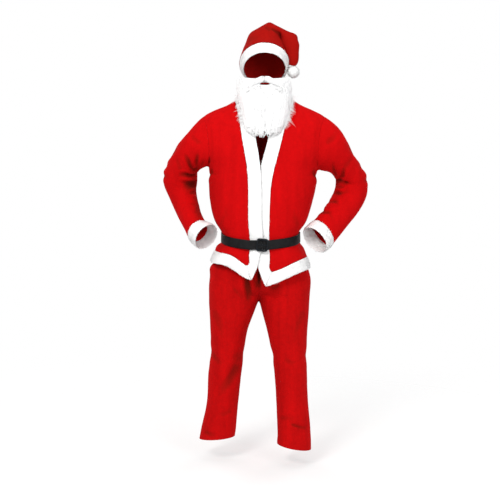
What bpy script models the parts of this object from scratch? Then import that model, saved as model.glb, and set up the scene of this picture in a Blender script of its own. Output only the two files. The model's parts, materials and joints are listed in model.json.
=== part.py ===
"""A worn santa suit: jacket, belt, trousers, hat and false beard, hollow, in the pose of a
standing wearer with hands on hips.

Units are metres and +Z is up. The front faces -Y, and the wearer's right is at -X.
Heights in the tables are above the wearer's soles. The origin is between the shoulders,
where the wearer holds the jacket up.
"""

import math

import bmesh
import bpy
import numpy as np

# Driving sizes
SHOULDER_HEIGHT = 1.450   # the origin's height above the soles
CLOTH = 0.002             # wall of the red cloth
SEAM_GAP = 0.0003         # clear space between sewn pieces
PLUSH = 0.0085            # thickness of the folded plush trim
BAND_WIDTH = 0.056        # front and neck bands
HEM_WIDTH = 0.050         # hem band
BELT_WIDTH = 0.037
BELT_THICK = 0.0025
BUCKLE_SIZE = (0.046, 0.052)
POMPOM_RADIUS = 0.021
POMPOM_LOCK = 0.0065

RED = (0.62, 0.004, 0.008, 1.0)
WHITE = (0.90, 0.90, 0.88, 1.0)
BLACK = (0.015, 0.015, 0.017, 1.0)
SLATE = (0.030, 0.036, 0.045, 1.0)

# Jacket halves below the armpit. A row runs round the body from the front band's seam over the
# side to the centre of the back. Columns: the seam's x, y, z, the side's x, z.
JACKET_ROWS = {
    "right": [
        # seam x   seam y   seam z   side x   side z
        (-0.061, -0.160, 0.818, -0.193, 0.868),
        (-0.055, -0.162, 0.852, -0.182, 0.891),
        (-0.051, -0.155, 0.883, -0.165, 0.903),
        (-0.050, -0.155, 0.925, -0.164, 0.944),
        (-0.054, -0.158, 0.962, -0.188, 0.983),
        (-0.057, -0.160, 1.030, -0.209, 1.050),
        (-0.057, -0.155, 1.120, -0.217, 1.135),
    ],
    "left": [
        (0.036, -0.160, 0.796, 0.184, 0.844),
        (0.031, -0.162, 0.842, 0.172, 0.878),
        (0.027, -0.155, 0.883, 0.154, 0.903),
        (0.027, -0.155, 0.925, 0.153, 0.944),
        (0.027, -0.158, 0.962, 0.180, 0.983),
        (0.029, -0.160, 1.030, 0.200, 1.050),
        (0.033, -0.155, 1.120, 0.220, 1.128),
    ],
}
# The centre of the back at the same rows: y, z.
BACK_ROWS = [
    (0.128, 0.848), (0.114, 0.886), (0.098, 0.909), (0.098, 0.950),
    (0.112, 0.990), (0.125, 1.055), (0.134, 1.135),
]
# Jacket halves from the armpit up. Columns: the seam's x, y, z, the armhole's x, z, and
# the depths of its front and back.
YOKE_ROWS = {
    "right": [
        # seam x   seam y   seam z  hole x   hole z  front    back
        (-0.062, -0.146, 1.205, -0.217, 1.206, 0.000, 0.000),
        (-0.073, -0.137, 1.275, -0.212, 1.245, -0.070, 0.072),
        (-0.085, -0.115, 1.348, -0.213, 1.312, -0.084, 0.086),
        (-0.097, -0.068, 1.425, -0.225, 1.378, -0.056, 0.058),
        (-0.108, 0.004, 1.480, -0.241, 1.414, 0.002, 0.002),
    ],
    "left": [
        (0.046, -0.146, 1.197, 0.224, 1.190, 0.000, 0.000),
        (0.064, -0.137, 1.265, 0.221, 1.238, -0.070, 0.072),
        (0.084, -0.115, 1.342, 0.223, 1.308, -0.084, 0.086),
        (0.108, -0.068, 1.422, 0.236, 1.377, -0.056, 0.058),
        (0.128, 0.004, 1.480, 0.252, 1.414, 0.002, 0.002),
    ],
}
YOKE_BACK = [(0.138, 1.210), (0.139, 1.280), (0.134, 1.350), (0.118, 1.416), (0.086, 1.468)]
CENTRE_X = 0.004          # the centre line of the back

# Sleeve rings from the armhole down. Columns: the outer line's x, z, the inner line's x, z,
# the middle's y and the depth from front to back.
SLEEVE_RINGS = {
    "right": [
        # outer x   z      inner x    z       y      depth
        (-0.281, 1.385, -0.236, 1.206, 0.010, 0.158),
        (-0.326, 1.324, -0.254, 1.197, 0.028, 0.150),
        (-0.371, 1.260, -0.268, 1.180, 0.052, 0.142),
        (-0.405, 1.190, -0.268, 1.160, 0.074, 0.136),
        (-0.405, 1.128, -0.270, 1.134, 0.086, 0.130),
        (-0.383, 1.077, -0.271, 1.100, 0.078, 0.122),
        (-0.349, 1.006, -0.258, 1.045, 0.044, 0.114),
        (-0.322, 0.964, -0.249, 1.018, 0.008, 0.112),
        (-0.288, 0.909, -0.236, 0.990, -0.030, 0.110),
    ],
    "left": [
        (0.288, 1.385, 0.240, 1.194, 0.010, 0.158),
        (0.333, 1.333, 0.262, 1.190, 0.028, 0.150),
        (0.381, 1.254, 0.286, 1.181, 0.052, 0.142),
        (0.426, 1.190, 0.303, 1.162, 0.074, 0.136),
        (0.440, 1.137, 0.307, 1.142, 0.086, 0.130),
        (0.431, 1.075, 0.301, 1.112, 0.080, 0.120),
        (0.392, 1.014, 0.285, 1.080, 0.056, 0.110),
        (0.338, 0.952, 0.250, 1.032, 0.016, 0.104),
        (0.284, 0.891, 0.212, 0.993, -0.024, 0.100),
    ],
}
# The cuffs' lower ends, in the same columns.
CUFF_END = {
    "right": (-0.256, 0.880, -0.193, 0.974, -0.062, 0.124),
    "left": (0.250, 0.866, 0.173, 0.962, -0.060, 0.112),
}

# Trouser legs up to the crotch, which the last rings share. Columns: the outer line's x, z,
# the inner line's x, z, the middle's y and the depth.
LEG_RINGS = {
    "right": [
        (-0.260, 0.085, -0.112, 0.096, -0.005, 0.160),
        (-0.246, 0.150, -0.104, 0.156, 0.000, 0.158),
        (-0.227, 0.245, -0.097, 0.248, 0.006, 0.158),
        (-0.223, 0.350, -0.086, 0.350, 0.006, 0.163),
        (-0.211, 0.450, -0.074, 0.450, 0.002, 0.174),
        (-0.213, 0.560, -0.054, 0.555, 0.000, 0.192),
        (-0.218, 0.655, -0.013, 0.650, -0.004, 0.214),
    ],
    "left": [
        (0.200, 0.063, 0.061, 0.086, -0.088, 0.160),
        (0.198, 0.130, 0.062, 0.150, -0.084, 0.157),
        (0.188, 0.240, 0.059, 0.245, -0.068, 0.158),
        (0.184, 0.350, 0.052, 0.350, -0.055, 0.165),
        (0.182, 0.450, 0.040, 0.450, -0.042, 0.175),
        (0.187, 0.560, 0.018, 0.555, -0.024, 0.193),
        (0.195, 0.650, -0.013, 0.650, -0.004, 0.214),
    ],
}
# Hips, from just over the crotch to the waistband. Columns: the right side's x, the left
# side's x, the sides' z, the front seam's y, z and the back seam's y, z.
HIP_ROWS = [
    (-0.218, 0.197, 0.708, -0.082, 0.688, 0.076, 0.688),
    (-0.213, 0.198, 0.763, -0.124, 0.742, 0.114, 0.745),
    (-0.180, 0.168, 0.828, -0.131, 0.812, 0.118, 0.820),
    (-0.160, 0.149, 0.895, -0.128, 0.885, 0.096, 0.895),
    (-0.150, 0.140, 0.955, -0.124, 0.952, 0.086, 0.960),
]
CROTCH_X = -0.013
CROTCH_SWELL = 0.65       # the thighs stand out past the seam just over the crotch
# The waistband casing: its height at the front, the sides and the back, its wall and how far
# it stands out past the legs' cloth.
WAISTBAND_HEIGHTS = (0.038, 0.037, 0.038)
WAISTBAND_WALL = 0.004
WAISTBAND_OUT = 0.001

# Hat rings from the brim to the tip. Columns: the outer line's x, z, the inner line's x, z,
# the middle's y, the depth and how far the front is turned up, in degrees.
HAT_RINGS = [
    (-0.093, 1.625, 0.111, 1.623, 0.012, 0.256, 37),
    (-0.084, 1.660, 0.101, 1.654, 0.028, 0.226, 35),
    (-0.068, 1.698, 0.088, 1.684, 0.035, 0.196, 28),
    (-0.047, 1.736, 0.078, 1.706, 0.035, 0.166, 20),
    (-0.013, 1.768, 0.075, 1.720, 0.032, 0.138, 10),
    (0.030, 1.786, 0.077, 1.728, 0.028, 0.112, 4),
    (0.082, 1.765, 0.082, 1.726, 0.022, 0.088, 0),
    (0.131, 1.739, 0.085, 1.707, 0.004, 0.064, 0),
    (0.150, 1.698, 0.093, 1.683, -0.004, 0.046, 0),
    (0.146, 1.656, 0.107, 1.650, -0.003, 0.036, 0),
    (0.139, 1.622, 0.119, 1.621, 0.000, 0.022, 0),
]
BRIM_END = (-0.077, 1.600, 0.096, 1.598, -0.014, 0.216, 34)
POMPOM_AT = (0.130, 0.001, 1.5910)

# Beard rows from the ears down. Columns: half width, the sides' y and z, the middle's y, z,
# and the wall's thickness in the middle.
BEARD_ROWS = [
    (0.098, -0.009, 1.574, -0.121, 1.556, 0.008),
    (0.112, -0.009, 1.545, -0.123, 1.546, 0.012),
    (0.118, -0.019, 1.520, -0.129, 1.520, 0.018),
    (0.119, -0.037, 1.490, -0.137, 1.488, 0.022),
    (0.116, -0.057, 1.458, -0.144, 1.452, 0.022),
    (0.112, -0.077, 1.428, -0.147, 1.414, 0.016),
    (0.108, -0.094, 1.400, -0.147, 1.378, 0.009),
    (0.098, -0.107, 1.376, -0.145, 1.346, 0.005),
]
BEARD_X = 0.007
BEARD_SPANS = 6
BEARD_AXIS_Y = 0.015      # the beard's wall is measured towards this upright line
BEARD_EDGE = 0.005        # the beard's thickness at its edges
BEARD_RAGGED = 0.007      # how far the locks of its lower edge reach past each other
MOUTH = (0.008, 1.536, 0.044, 0.012)   # x, z, width, height
# Moustache sections. Columns: x from its middle, z, height, thickness.
MOUSTACHE = [
    (-0.064, 1.522, 0.006, 0.004), (-0.050, 1.532, 0.015, 0.010), (-0.034, 1.544, 0.022, 0.015),
    (-0.016, 1.554, 0.022, 0.017), (0.0, 1.557, 0.014, 0.012), (0.016, 1.554, 0.022, 0.017),
    (0.034, 1.544, 0.022, 0.015), (0.050, 1.532, 0.015, 0.010), (0.064, 1.522, 0.006, 0.004),
]
STRAP_BACK = (0.0724, 1.536)   # the elastic behind the head: y, z
STRAP_WIDTH = 0.008
STRAP_THICK = 0.0012
MOUSTACHE_GAP = 0.0012

# The neck line between the shoulder and the centre back: a share of the shoulder's x, y and z.
COLLAR_HANDLES = [(0.80, 0.045, 1.479), (0.45, 0.086, 1.470)]
SIDE_ROUND = 0.58         # how round the body is at the side, less towards the shoulder

# Cross-section of the folded plush: the share of its width and of half its thickness.
PLUSH_PROFILE = [
    (0.00, 0.45), (0.13, 0.90), (0.50, 1.00), (0.87, 0.90), (1.00, 0.00),
    (0.87, -0.90), (0.50, -1.00), (0.13, -0.90), (0.00, -0.45),
]
# Front bands below the chest. Columns: height of the seam, width. The corner tip ends each.
FRONT_BAND_WIDTHS = {
    "right": [(0.835, 0.040), (0.875, 0.048), (0.915, 0.056)],
    "left": [(0.815, 0.048), (0.860, 0.052), (0.915, 0.056)],
}
CORNER_TIPS = {"right": (-0.040, -0.166, 0.757), "left": (0.009, -0.166, 0.731)}
# The right front band lies on the left one. Columns: height of the seam, lift.
FRONT_BAND_LIFTS = {
    "right": [(0.79, 0.0025), (0.84, 0.0070), (1.20, 0.0070), (1.29, 0.0)],
    "left": [(0.79, -0.0010), (0.84, -0.0030), (1.20, -0.0030), (1.29, 0.0)],
}
# How much the front bands leave the cloth's slope, as a share of their width, against height.
FRONT_BAND_RISES = [(1.25, -0.14), (1.38, 0.0), (1.48, 0.35)]
NECK_BAND_RISE = 0.35     # the same for the neck band

# Belt: how far it stands off the cloth over the front bands. Columns: x, clearance.
BELT_CLEARANCE = [(-0.120, 0.0010), (-0.045, 0.0145), (0.008, 0.0145), (0.075, 0.0010)]
BELT_GAP = 0.006          # between the strap's two ends, under the buckle
BUCKLE_X = -0.001
BUCKLE_TILT = 6.0         # degrees, its top to the wearer's left
BUCKLE_BAR = 0.0050
BUCKLE_THICK = 0.0045
PRONG = (0.0048, 0.0032, 0.0030)   # width at the strap, width on top, thickness

# Points in the surfaces: between the front seam and the side, the side and the centre back's
# neck, and round a sleeve, the hat and a leg.
FRONT_SPANS, NECK_SPANS, RING_POINTS, LEG_POINTS = 3, 2, 8, 8

# The largest folds, as soft troughs. Columns: the ends' x and z, the width, the depth, and -1
# for the front or 1 for the back.
FOLDS = [
    (-0.268, 1.150, -0.352, 1.138, 0.024, 0.009, -1),
    (-0.270, 1.190, -0.306, 1.256, 0.020, 0.007, -1),
    (-0.266, 1.196, -0.262, 1.272, 0.020, 0.006, -1),
    (0.310, 1.150, 0.275, 1.234, 0.020, 0.007, -1),
    (0.314, 1.150, 0.334, 1.222, 0.020, 0.006, -1),
    (0.300, 1.095, 0.372, 1.085, 0.022, 0.006, -1),
    (-0.290, 1.100, -0.372, 1.172, 0.024, 0.006, 1),
    (0.330, 1.100, 0.402, 1.178, 0.024, 0.006, 1),
    (-0.068, 0.760, -0.036, 0.676, 0.024, 0.008, -1),
    (0.046, 0.742, 0.020, 0.668, 0.024, 0.006, -1),
    (-0.094, 0.410, -0.176, 0.272, 0.026, 0.006, -1),
    (0.112, 0.142, 0.196, 0.136, 0.022, 0.006, -1),
    (-0.090, 0.460, -0.200, 0.425, 0.026, 0.008, 1),
    (0.050, 0.455, 0.170, 0.425, 0.026, 0.008, 1),
    (-0.030, 0.668, -0.130, 0.690, 0.026, 0.008, 1),
    (0.004, 0.668, 0.110, 0.690, 0.026, 0.008, 1),
]


def clear_scene():
    for thing in list(bpy.data.objects):
        bpy.data.objects.remove(thing, do_unlink=True)


def collection(name):
    made = bpy.data.collections.new(name)
    bpy.context.scene.collection.children.link(made)
    return made


def material(name, colour, roughness):
    made = bpy.data.materials.new(name)
    made.use_nodes = True
    shader = made.node_tree.nodes["Principled BSDF"]
    shader.inputs["Base Color"].default_value = colour
    shader.inputs["Roughness"].default_value = roughness
    shader.inputs["Metallic"].default_value = 0.0
    return made


def keep(mesh, name, colour, roughness):
    """Adds a finished solid, moved from heights above the soles to the part's origin."""
    for vertex in mesh.vertices:
        vertex.co.z -= SHOULDER_HEIGHT
    mesh.materials.clear()
    mesh.materials.append(material(name, colour, roughness))
    mesh.shade_smooth()
    mesh.set_sharp_from_angle(angle=math.radians(50))
    made = bpy.data.objects.new(name, mesh)
    suit.objects.link(made)
    return made


def bezier(start, start_handle, end_handle, end, count):
    """Points on a cubic curve, ends included."""
    t = np.linspace(0.0, 1.0, count + 1)[:, None]
    return (
        (1 - t) ** 3 * start + 3 * (1 - t) ** 2 * t * start_handle
        + 3 * (1 - t) * t ** 2 * end_handle + t ** 3 * end
    )


def quarter(middle, side, count, round_middle=0.60, round_side=SIDE_ROUND, climb=(0.3, 0.3), swell=0.0):
    """A quarter of a body section, from a point in the middle to one at the side. climb is the
    share of the rise that the curve's first and last handles take, and swell pushes the curve
    out between its ends."""
    middle, side = np.array(middle, float), np.array(side, float)
    across = np.array([side[0] - middle[0], 0.0, 0.0])
    along = np.array([0.0, middle[1] - side[1], 0.0])
    rise = np.array([0.0, 0.0, side[2] - middle[2]])
    out = along * swell
    return bezier(
        middle, middle + across * round_middle + rise * climb[0] + out,
        side + along * round_side - rise * climb[1] + out, side, count,
    )


def ring(row, axis, count, rise=None):
    """A sleeve, leg or hat ring, from its inner line over the front to its outer line and round
    the back. The axis runs along the tube; rise turns the front up instead, in degrees."""
    outer_x, outer_z, inner_x, inner_z, y, depth = row[:6]
    outer, inner = np.array([outer_x, y, outer_z]), np.array([inner_x, y, inner_z])
    half = (outer - inner) / 2
    wide = half / np.linalg.norm(half)
    if rise is None:
        front = np.cross(axis, wide)
        front *= -np.sign(front[1])
    else:
        front = np.array([0.0, -math.cos(math.radians(rise)), math.sin(math.radians(rise))])
        front -= wide * front.dot(wide)
    front *= depth / 2 / np.linalg.norm(front)
    turns = [2 * math.pi * i / count for i in range(count)]
    return [(outer + inner) / 2 - half * math.cos(a) + front * math.sin(a) for a in turns]


def middles(rows):
    """The middle point of each ring row."""
    return np.array([((r[0] + r[2]) / 2, r[4], (r[1] + r[3]) / 2) for r in rows])


class Cage:
    """A coarse quad surface that several panels share, smoothed once for all of them."""

    def __init__(self):
        self.points, self.faces, self.panels = [], [], []

    def add(self, points):
        first = len(self.points)
        self.points += [tuple(p) for p in points]
        return list(range(first, len(self.points)))

    def grid(self, rows, panel, flip, closed=False):
        """Quads between neighbouring rows of point numbers."""
        for low, high in zip(rows, rows[1:]):
            spans = len(low) if closed else len(low) - 1
            for i in range(spans):
                j = (i + 1) % len(low)
                quad = (low[i], low[j], high[j], high[i])
                self.faces.append(quad[::-1] if flip else quad)
                self.panels.append(panel)

    def smooth(self):
        """Subdivides the cage once and fits it, so that the surface runs through its points."""
        goal = np.array(self.points)
        cage = goal.copy()
        mesh = bpy.data.meshes.new("cage")
        mesh.from_pydata(self.points, [], self.faces)
        thing = bpy.data.objects.new("cage", mesh)
        bpy.context.scene.collection.objects.link(thing)
        rounder = thing.modifiers.new("round", "SUBSURF")
        rounder.levels = rounder.render_levels = 1
        for _ in range(4):
            mesh.vertices.foreach_set("co", cage.ravel())
            mesh.update()
            shown = thing.evaluated_get(bpy.context.evaluated_depsgraph_get()).data
            fine = np.array([v.co for v in shown.vertices])
            cage += goal - fine[:len(goal)]
        self.fine = fine
        self.quads = [tuple(f.vertices) for f in shown.polygons]
        self.quad_panels = [self.panels[i // 4] for i in range(len(self.quads))]
        self.beside = {}
        for edge in shown.edges:
            a, b = edge.vertices
            self.beside.setdefault(a, set()).add(b)
            self.beside.setdefault(b, set()).add(a)
        bpy.data.objects.remove(thing, do_unlink=True)
        self.find_normals()
        for fold in FOLDS:
            self.press(*fold)
        self.find_normals()

    def press(self, x1, z1, x2, z2, width, depth, facing):
        """Presses a soft trough into the front or the back along a line."""
        start, run = np.array([x1, z1]), np.array([x2 - x1, z2 - z1])
        flat = self.fine[:, [0, 2]] - start
        share = np.clip(flat @ run / run.dot(run), 0.0, 1.0)
        off = np.linalg.norm(flat - share[:, None] * run, axis=1)
        deep = depth * np.exp(-(off / width) ** 2) * (1 - 0.7 * share)
        deep *= np.clip(self.normals[:, 1] * facing * 2, 0.0, 1.0)
        self.fine -= self.normals * deep[:, None]

    def find_normals(self):
        normals = np.zeros_like(self.fine)
        for quad in self.quads:
            a, b, c, d = (self.fine[i] for i in quad)
            normals[list(quad)] += np.cross(c - a, d - b)
        self.normals = normals / np.linalg.norm(normals, axis=1)[:, None]

    def line(self, numbers, closed=False):
        """The smoothed points along a line of cage points: each one and the one halfway."""
        ends = numbers + numbers[:1] if closed else numbers
        run = []
        for a, b in zip(ends, ends[1:]):
            run += [a, (self.beside[a] & self.beside[b]).pop()]
        return run if closed else run + ends[-1:]

    def wall(self, panel, inner=lambda point, normal: point - normal * CLOTH):
        """A panel as a closed wall under the surface, drawn back from its seams. inner gives
        the wall's other side."""
        quads = [q for q, p in zip(self.quads, self.quad_panels) if p == panel]
        edges = {(q[i], q[i - 3]) for q in quads for i in range(4)}
        border = [(a, b) for a, b in edges if (b, a) not in edges]
        after = {a: b for a, b in border}
        before = {b: a for a, b in border}
        inward = {v: np.zeros(3) for v in after}
        for quad in quads:
            middle = np.mean([self.fine[v] for v in quad], axis=0)
            for v in quad:
                if v in inward:
                    inward[v] += middle - self.fine[v]
        outer = {v: self.fine[v] for quad in quads for v in quad}
        for v, way in inward.items():
            along = self.fine[after[v]] - self.fine[before[v]]
            along /= np.linalg.norm(along)
            way = way - along * way.dot(along) - self.normals[v] * way.dot(self.normals[v])
            outer[v] = self.fine[v] + way / np.linalg.norm(way) * SEAM_GAP / 2
        numbers = {v: i for i, v in enumerate(sorted(outer))}
        count = len(numbers)
        points = [outer[v] for v in sorted(outer)]
        points += [inner(outer[v], self.normals[v]) for v in sorted(outer)]
        faces = [[numbers[v] for v in q] for q in quads]
        faces += [[numbers[v] + count for v in q[::-1]] for q in quads]
        for a, b in sorted(border):
            a, b = numbers[a], numbers[b]
            faces.append([b, a, a + count, b + count])
        return solid(points, faces)


def solid(points, faces):
    """A mesh from points and faces, with its faces pointing out and each quad cut along its
    flatter diagonal, so that pieces sewn together stay clear of each other."""
    mesh = bpy.data.meshes.new("solid")
    form = bmesh.new()
    made = [form.verts.new(p) for p in points]
    for face in faces:
        form.faces.new([made[i] for i in face])
    bmesh.ops.recalc_face_normals(form, faces=form.faces)
    bmesh.ops.triangulate(form, faces=form.faces, quad_method="BEAUTY")
    form.to_mesh(mesh)
    form.free()
    return mesh


def loft(rings, closed=False):
    """A closed solid through rings of equally many points, with flat ends unless it is closed."""
    size = len(rings[0])
    points = [p for r in rings for p in r]
    faces = []
    for k in range(len(rings) if closed else len(rings) - 1):
        low, high = k * size, (k + 1) % len(rings) * size
        for i in range(size):
            j = (i + 1) % size
            faces.append([low + i, low + j, high + j, high + i])
    if not closed:
        faces += [list(range(size)), list(range((len(rings) - 1) * size, len(points)))]
    return solid(points, faces)


def plush(seam, free, normals, closed=False, lift=None):
    """A plush strip from its seam line to its free edge. lift moves it out past mid width,
    one value for each section."""
    seam, free, normals = np.array(seam), np.array(free), np.array(normals)
    rings = []
    for k in range(len(seam)):
        across = free[k] - seam[k]
        start = seam[k] + across / np.linalg.norm(across) * SEAM_GAP
        section = []
        for share, height in PLUSH_PROFILE:
            out = height * PLUSH / 2 - CLOTH / 2
            if lift is not None:
                out += lift[k] * min(1.0, 2 * share)
            section.append(start + (free[k] - start) * share + normals[k] * out)
        rings.append(section)
    if not closed:
        for end, near in ((0, 1), (-1, -2)):
            way = np.mean(rings[near], axis=0) - np.mean(rings[end], axis=0)
            way *= SEAM_GAP * 0.6 / np.linalg.norm(way)
            rings[end] = [p + way for p in rings[end]]
    return loft(rings, closed)


def out_of_panel(cage, run, width):
    """Free edge points of a strip that carries a panel's surface on past the seam line."""
    free = []
    for k, v in enumerate(run):
        here = cage.fine[v]
        along = cage.fine[run[min(k + 1, len(run) - 1)]] - cage.fine[run[max(k - 1, 0)]]
        way = np.cross(cage.normals[v], along)
        inside = np.mean([cage.fine[n] for n in cage.beside[v]], axis=0) - here
        way *= -np.sign(way.dot(inside)) / np.linalg.norm(way)
        free.append(here + way * width[k])
    return free


def jacket_cage():
    """The whole jacket as one surface, and the point numbers of its lines."""
    cage, lines = Cage(), {}
    backs = [(CENTRE_X, y, z) for y, z in BACK_ROWS + YOKE_BACK]
    back_points = cage.add(backs)
    low = len(BACK_ROWS)
    for side in ("right", "left"):
        flip = side == "right"
        front_rows, back_rows = [], []
        for k, (sx, sy, sz, ex, ez) in enumerate(JACKET_ROWS[side]):
            climb = (0.8, -0.1) if k == 0 else (0.3, 0.3)
            front = quarter((sx, sy, sz), (ex, 0.0, ez), FRONT_SPANS, climb=climb)
            front = cage.add(front)
            back = quarter(backs[k], (ex, 0.0, ez), FRONT_SPANS + NECK_SPANS)[::-1]
            front_rows.append(front)
            back_rows.append(front[-1:] + cage.add(back[1:-1]) + [back_points[k]])
        for k, (sx, sy, sz, hx, hz, hole_front, hole_back) in enumerate(YOKE_ROWS[side]):
            bulge = SIDE_ROUND * (1 - k / len(YOKE_BACK))
            climb = (0.3, 0.3) if k < 4 else (0.5, 0.0)
            front = quarter((sx, sy, sz), (hx, hole_front, hz), FRONT_SPANS, 0.5, bulge, climb)
            front = cage.add(front)
            front_rows.append(front)
            centre = back_points[low + k]
            if k == 4:
                handles = [np.array((sx * share, y, z)) for share, y, z in COLLAR_HANDLES]
                collar = bezier(
                    np.array((sx, sy, sz)), *handles, np.array(backs[low + k]), NECK_SPANS,
                )
                back_rows.append(front[::-1] + cage.add(collar[1:-1]) + [centre])
                continue
            back = quarter(
                backs[low + k], (hx, hole_back, hz), FRONT_SPANS + NECK_SPANS, 0.5, bulge
            )[::-1]
            start = front[-1:] if k == 0 else cage.add(back[:1])
            back_rows.append(start + cage.add(back[1:-1]) + [centre])
        cage.grid(front_rows, "front_" + side, flip)
        cage.grid(back_rows, "back", flip)

        hole = [r[-1] for r in front_rows[low:]] + [r[0] for r in back_rows[-2:low:-1]]
        table = SLEEVE_RINGS[side]
        path = middles(table + [CUFF_END[side]])
        path = np.vstack([np.mean([cage.points[i] for i in hole], axis=0), path])
        sleeve = [hole]
        for k, row in enumerate(table):
            sleeve.append(cage.add(ring(row, path[k + 2] - path[k], RING_POINTS)))
        cage.grid(sleeve, "sleeve_" + side, not flip, closed=True)
        lines[side] = {
            "seam": [r[0] for r in front_rows],
            "hem": front_rows[0] + back_rows[0][1:],
            "neck": back_rows[-1][FRONT_SPANS:],
            "waist": [front_rows[k] + back_rows[k][1:] for k in (2, 3)],
            "wrist": sleeve[-1],
            "wrist_axis": path[-1] - path[-2],
        }
    cage.smooth()
    return cage, lines


def stepped(table, heights):
    table = np.array(table)
    return np.interp(heights, table[:, 0], table[:, 1])


def bands(cage, lines):
    """The plush bands of both fronts, the neck and the hem."""
    made = {}
    neck, hem = {}, {}
    for side in ("right", "left"):
        run = cage.line(lines[side]["seam"])
        seam = cage.fine[run]
        widths = stepped(FRONT_BAND_WIDTHS[side], seam[:, 2])
        free = out_of_panel(cage, run, widths)
        normals = cage.normals[run].copy()
        rise = stepped(FRONT_BAND_RISES, seam[:, 2])
        free = [f + n * BAND_WIDTH * r for f, n, r in zip(free, normals, rise)]
        free[0] = np.array(CORNER_TIPS[side])
        lift = stepped(FRONT_BAND_LIFTS[side], seam[:, 2])
        made["band_front_" + side] = plush(seam, free, normals, lift=lift)
        neck[side] = (free[-1], normals[-1])
        hem[side] = (free[0], normals[0])

    run = cage.line(lines["right"]["neck"]) + cage.line(lines["left"]["neck"])[-2::-1]
    free = out_of_panel(cage, run, [BAND_WIDTH] * len(run))
    normals = cage.normals[run].copy()
    free = [f + n * BAND_WIDTH * NECK_BAND_RISE for f, n in zip(free, normals)]
    free[0], normals[0] = neck["right"]
    free[-1], normals[-1] = neck["left"]
    made["band_neck"] = plush(cage.fine[run], free, normals)

    run = cage.line(lines["right"]["hem"]) + cage.line(lines["left"]["hem"])[-2::-1]
    free = out_of_panel(cage, run, [HEM_WIDTH] * len(run))
    normals = cage.normals[run].copy()
    free[0], normals[0] = hem["right"]
    free[-1], normals[-1] = hem["left"]
    lift = np.zeros(len(run))
    lift[0], lift[-1] = FRONT_BAND_LIFTS["right"][0][1], FRONT_BAND_LIFTS["left"][0][1]
    made["band_hem"] = plush(cage.fine[run], free, normals, lift=lift)

    for side in ("right", "left"):
        run = cage.line(lines[side]["wrist"], closed=True)
        seam, normals = cage.fine[run], cage.normals[run]
        end = ring(CUFF_END[side], lines[side]["wrist_axis"], len(run))
        made["cuff_" + side] = plush(seam, end, normals, closed=True)
    return made


def belt(cage, lines):
    """The strap, lying on the waist's points and out over the front bands."""
    halves = []
    for side, turn in (("right", 1), ("left", -1)):
        low, high = (cage.fine[cage.line(numbers)] for numbers in lines[side]["waist"])
        start = []
        for x in (BUCKLE_X - turn * BELT_GAP / 2, (low[0][0] + BUCKLE_X) / 2):
            start.append([(x, low[0][1], low[0][2]), (x, high[0][1], high[0][2])])
        halves.append(start + list(zip(low, high)))
    run = np.array(halves[0] + halves[1][-2::-1])
    middle = run.mean(axis=1)
    rings = []
    for k, here in enumerate(middle):
        along = middle[min(k + 1, len(middle) - 1)] - middle[max(k - 1, 0)]
        out = np.array([-along[1], along[0], 0.0]) / np.hypot(along[0], along[1])
        up = run[k][1] - run[k][0]
        up /= np.linalg.norm(up)
        clear = BELT_CLEARANCE[0][1]
        if here[1] < 0:
            clear = np.interp(here[0], *np.array(BELT_CLEARANCE).T)
        rings.append([
            here + out * (clear + off * BELT_THICK) + up * side * BELT_WIDTH / 2
            for side, off in ((-1, 0), (1, 0), (1, 1), (-1, 1))
        ])
    return loft(rings)


def buckle():
    """The belt's plastic frame, on the strap, and the prong across it."""
    front = JACKET_ROWS["right"][2][1] - 0.0005 - BELT_CLEARANCE[1][1] - BELT_THICK - SEAM_GAP
    middle = np.array([BUCKLE_X, front, sum(r[2] for r in JACKET_ROWS["right"][2:4]) / 2])
    turn = math.radians(BUCKLE_TILT)
    right = np.array([math.cos(turn), 0.0, -math.sin(turn)])
    up = np.array([math.sin(turn), 0.0, math.cos(turn)])
    out = np.array([0.0, -1.0, 0.0])

    def place(x, z, y):
        return middle + right * x + up * z + out * y

    rings = []
    for i in range(24):
        angle = 2 * math.pi * (i + 0.5) / 24
        cos, sin = math.cos(angle), math.sin(angle)
        x = math.copysign(abs(cos) ** 0.35, cos) * BUCKLE_SIZE[0] / 2
        z = math.copysign(abs(sin) ** 0.35, sin) * BUCKLE_SIZE[1] / 2
        inner_x = x * (1 - 2 * BUCKLE_BAR / BUCKLE_SIZE[0])
        inner_z = z * (1 - 2 * BUCKLE_BAR / BUCKLE_SIZE[1])
        rings.append([
            place(x, z, 0.0), place(x, z, BUCKLE_THICK * 0.7),
            place(x * 0.97, z * 0.97, BUCKLE_THICK), place(inner_x, inner_z, BUCKLE_THICK),
            place(inner_x, inner_z, 0.0),
        ])
    prong = []
    reach = BUCKLE_SIZE[0] / 2 - BUCKLE_BAR - SEAM_GAP
    wide, narrow, thick = PRONG
    for share in (-1, -0.5, 0, 0.5, 1):
        x = reach * share
        prong.append([
            place(x, -wide / 2, 0.0), place(x, wide / 2, 0.0),
            place(x, narrow / 2, thick), place(x, -narrow / 2, thick),
        ])
    return loft(rings, closed=True), loft(prong)


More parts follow.
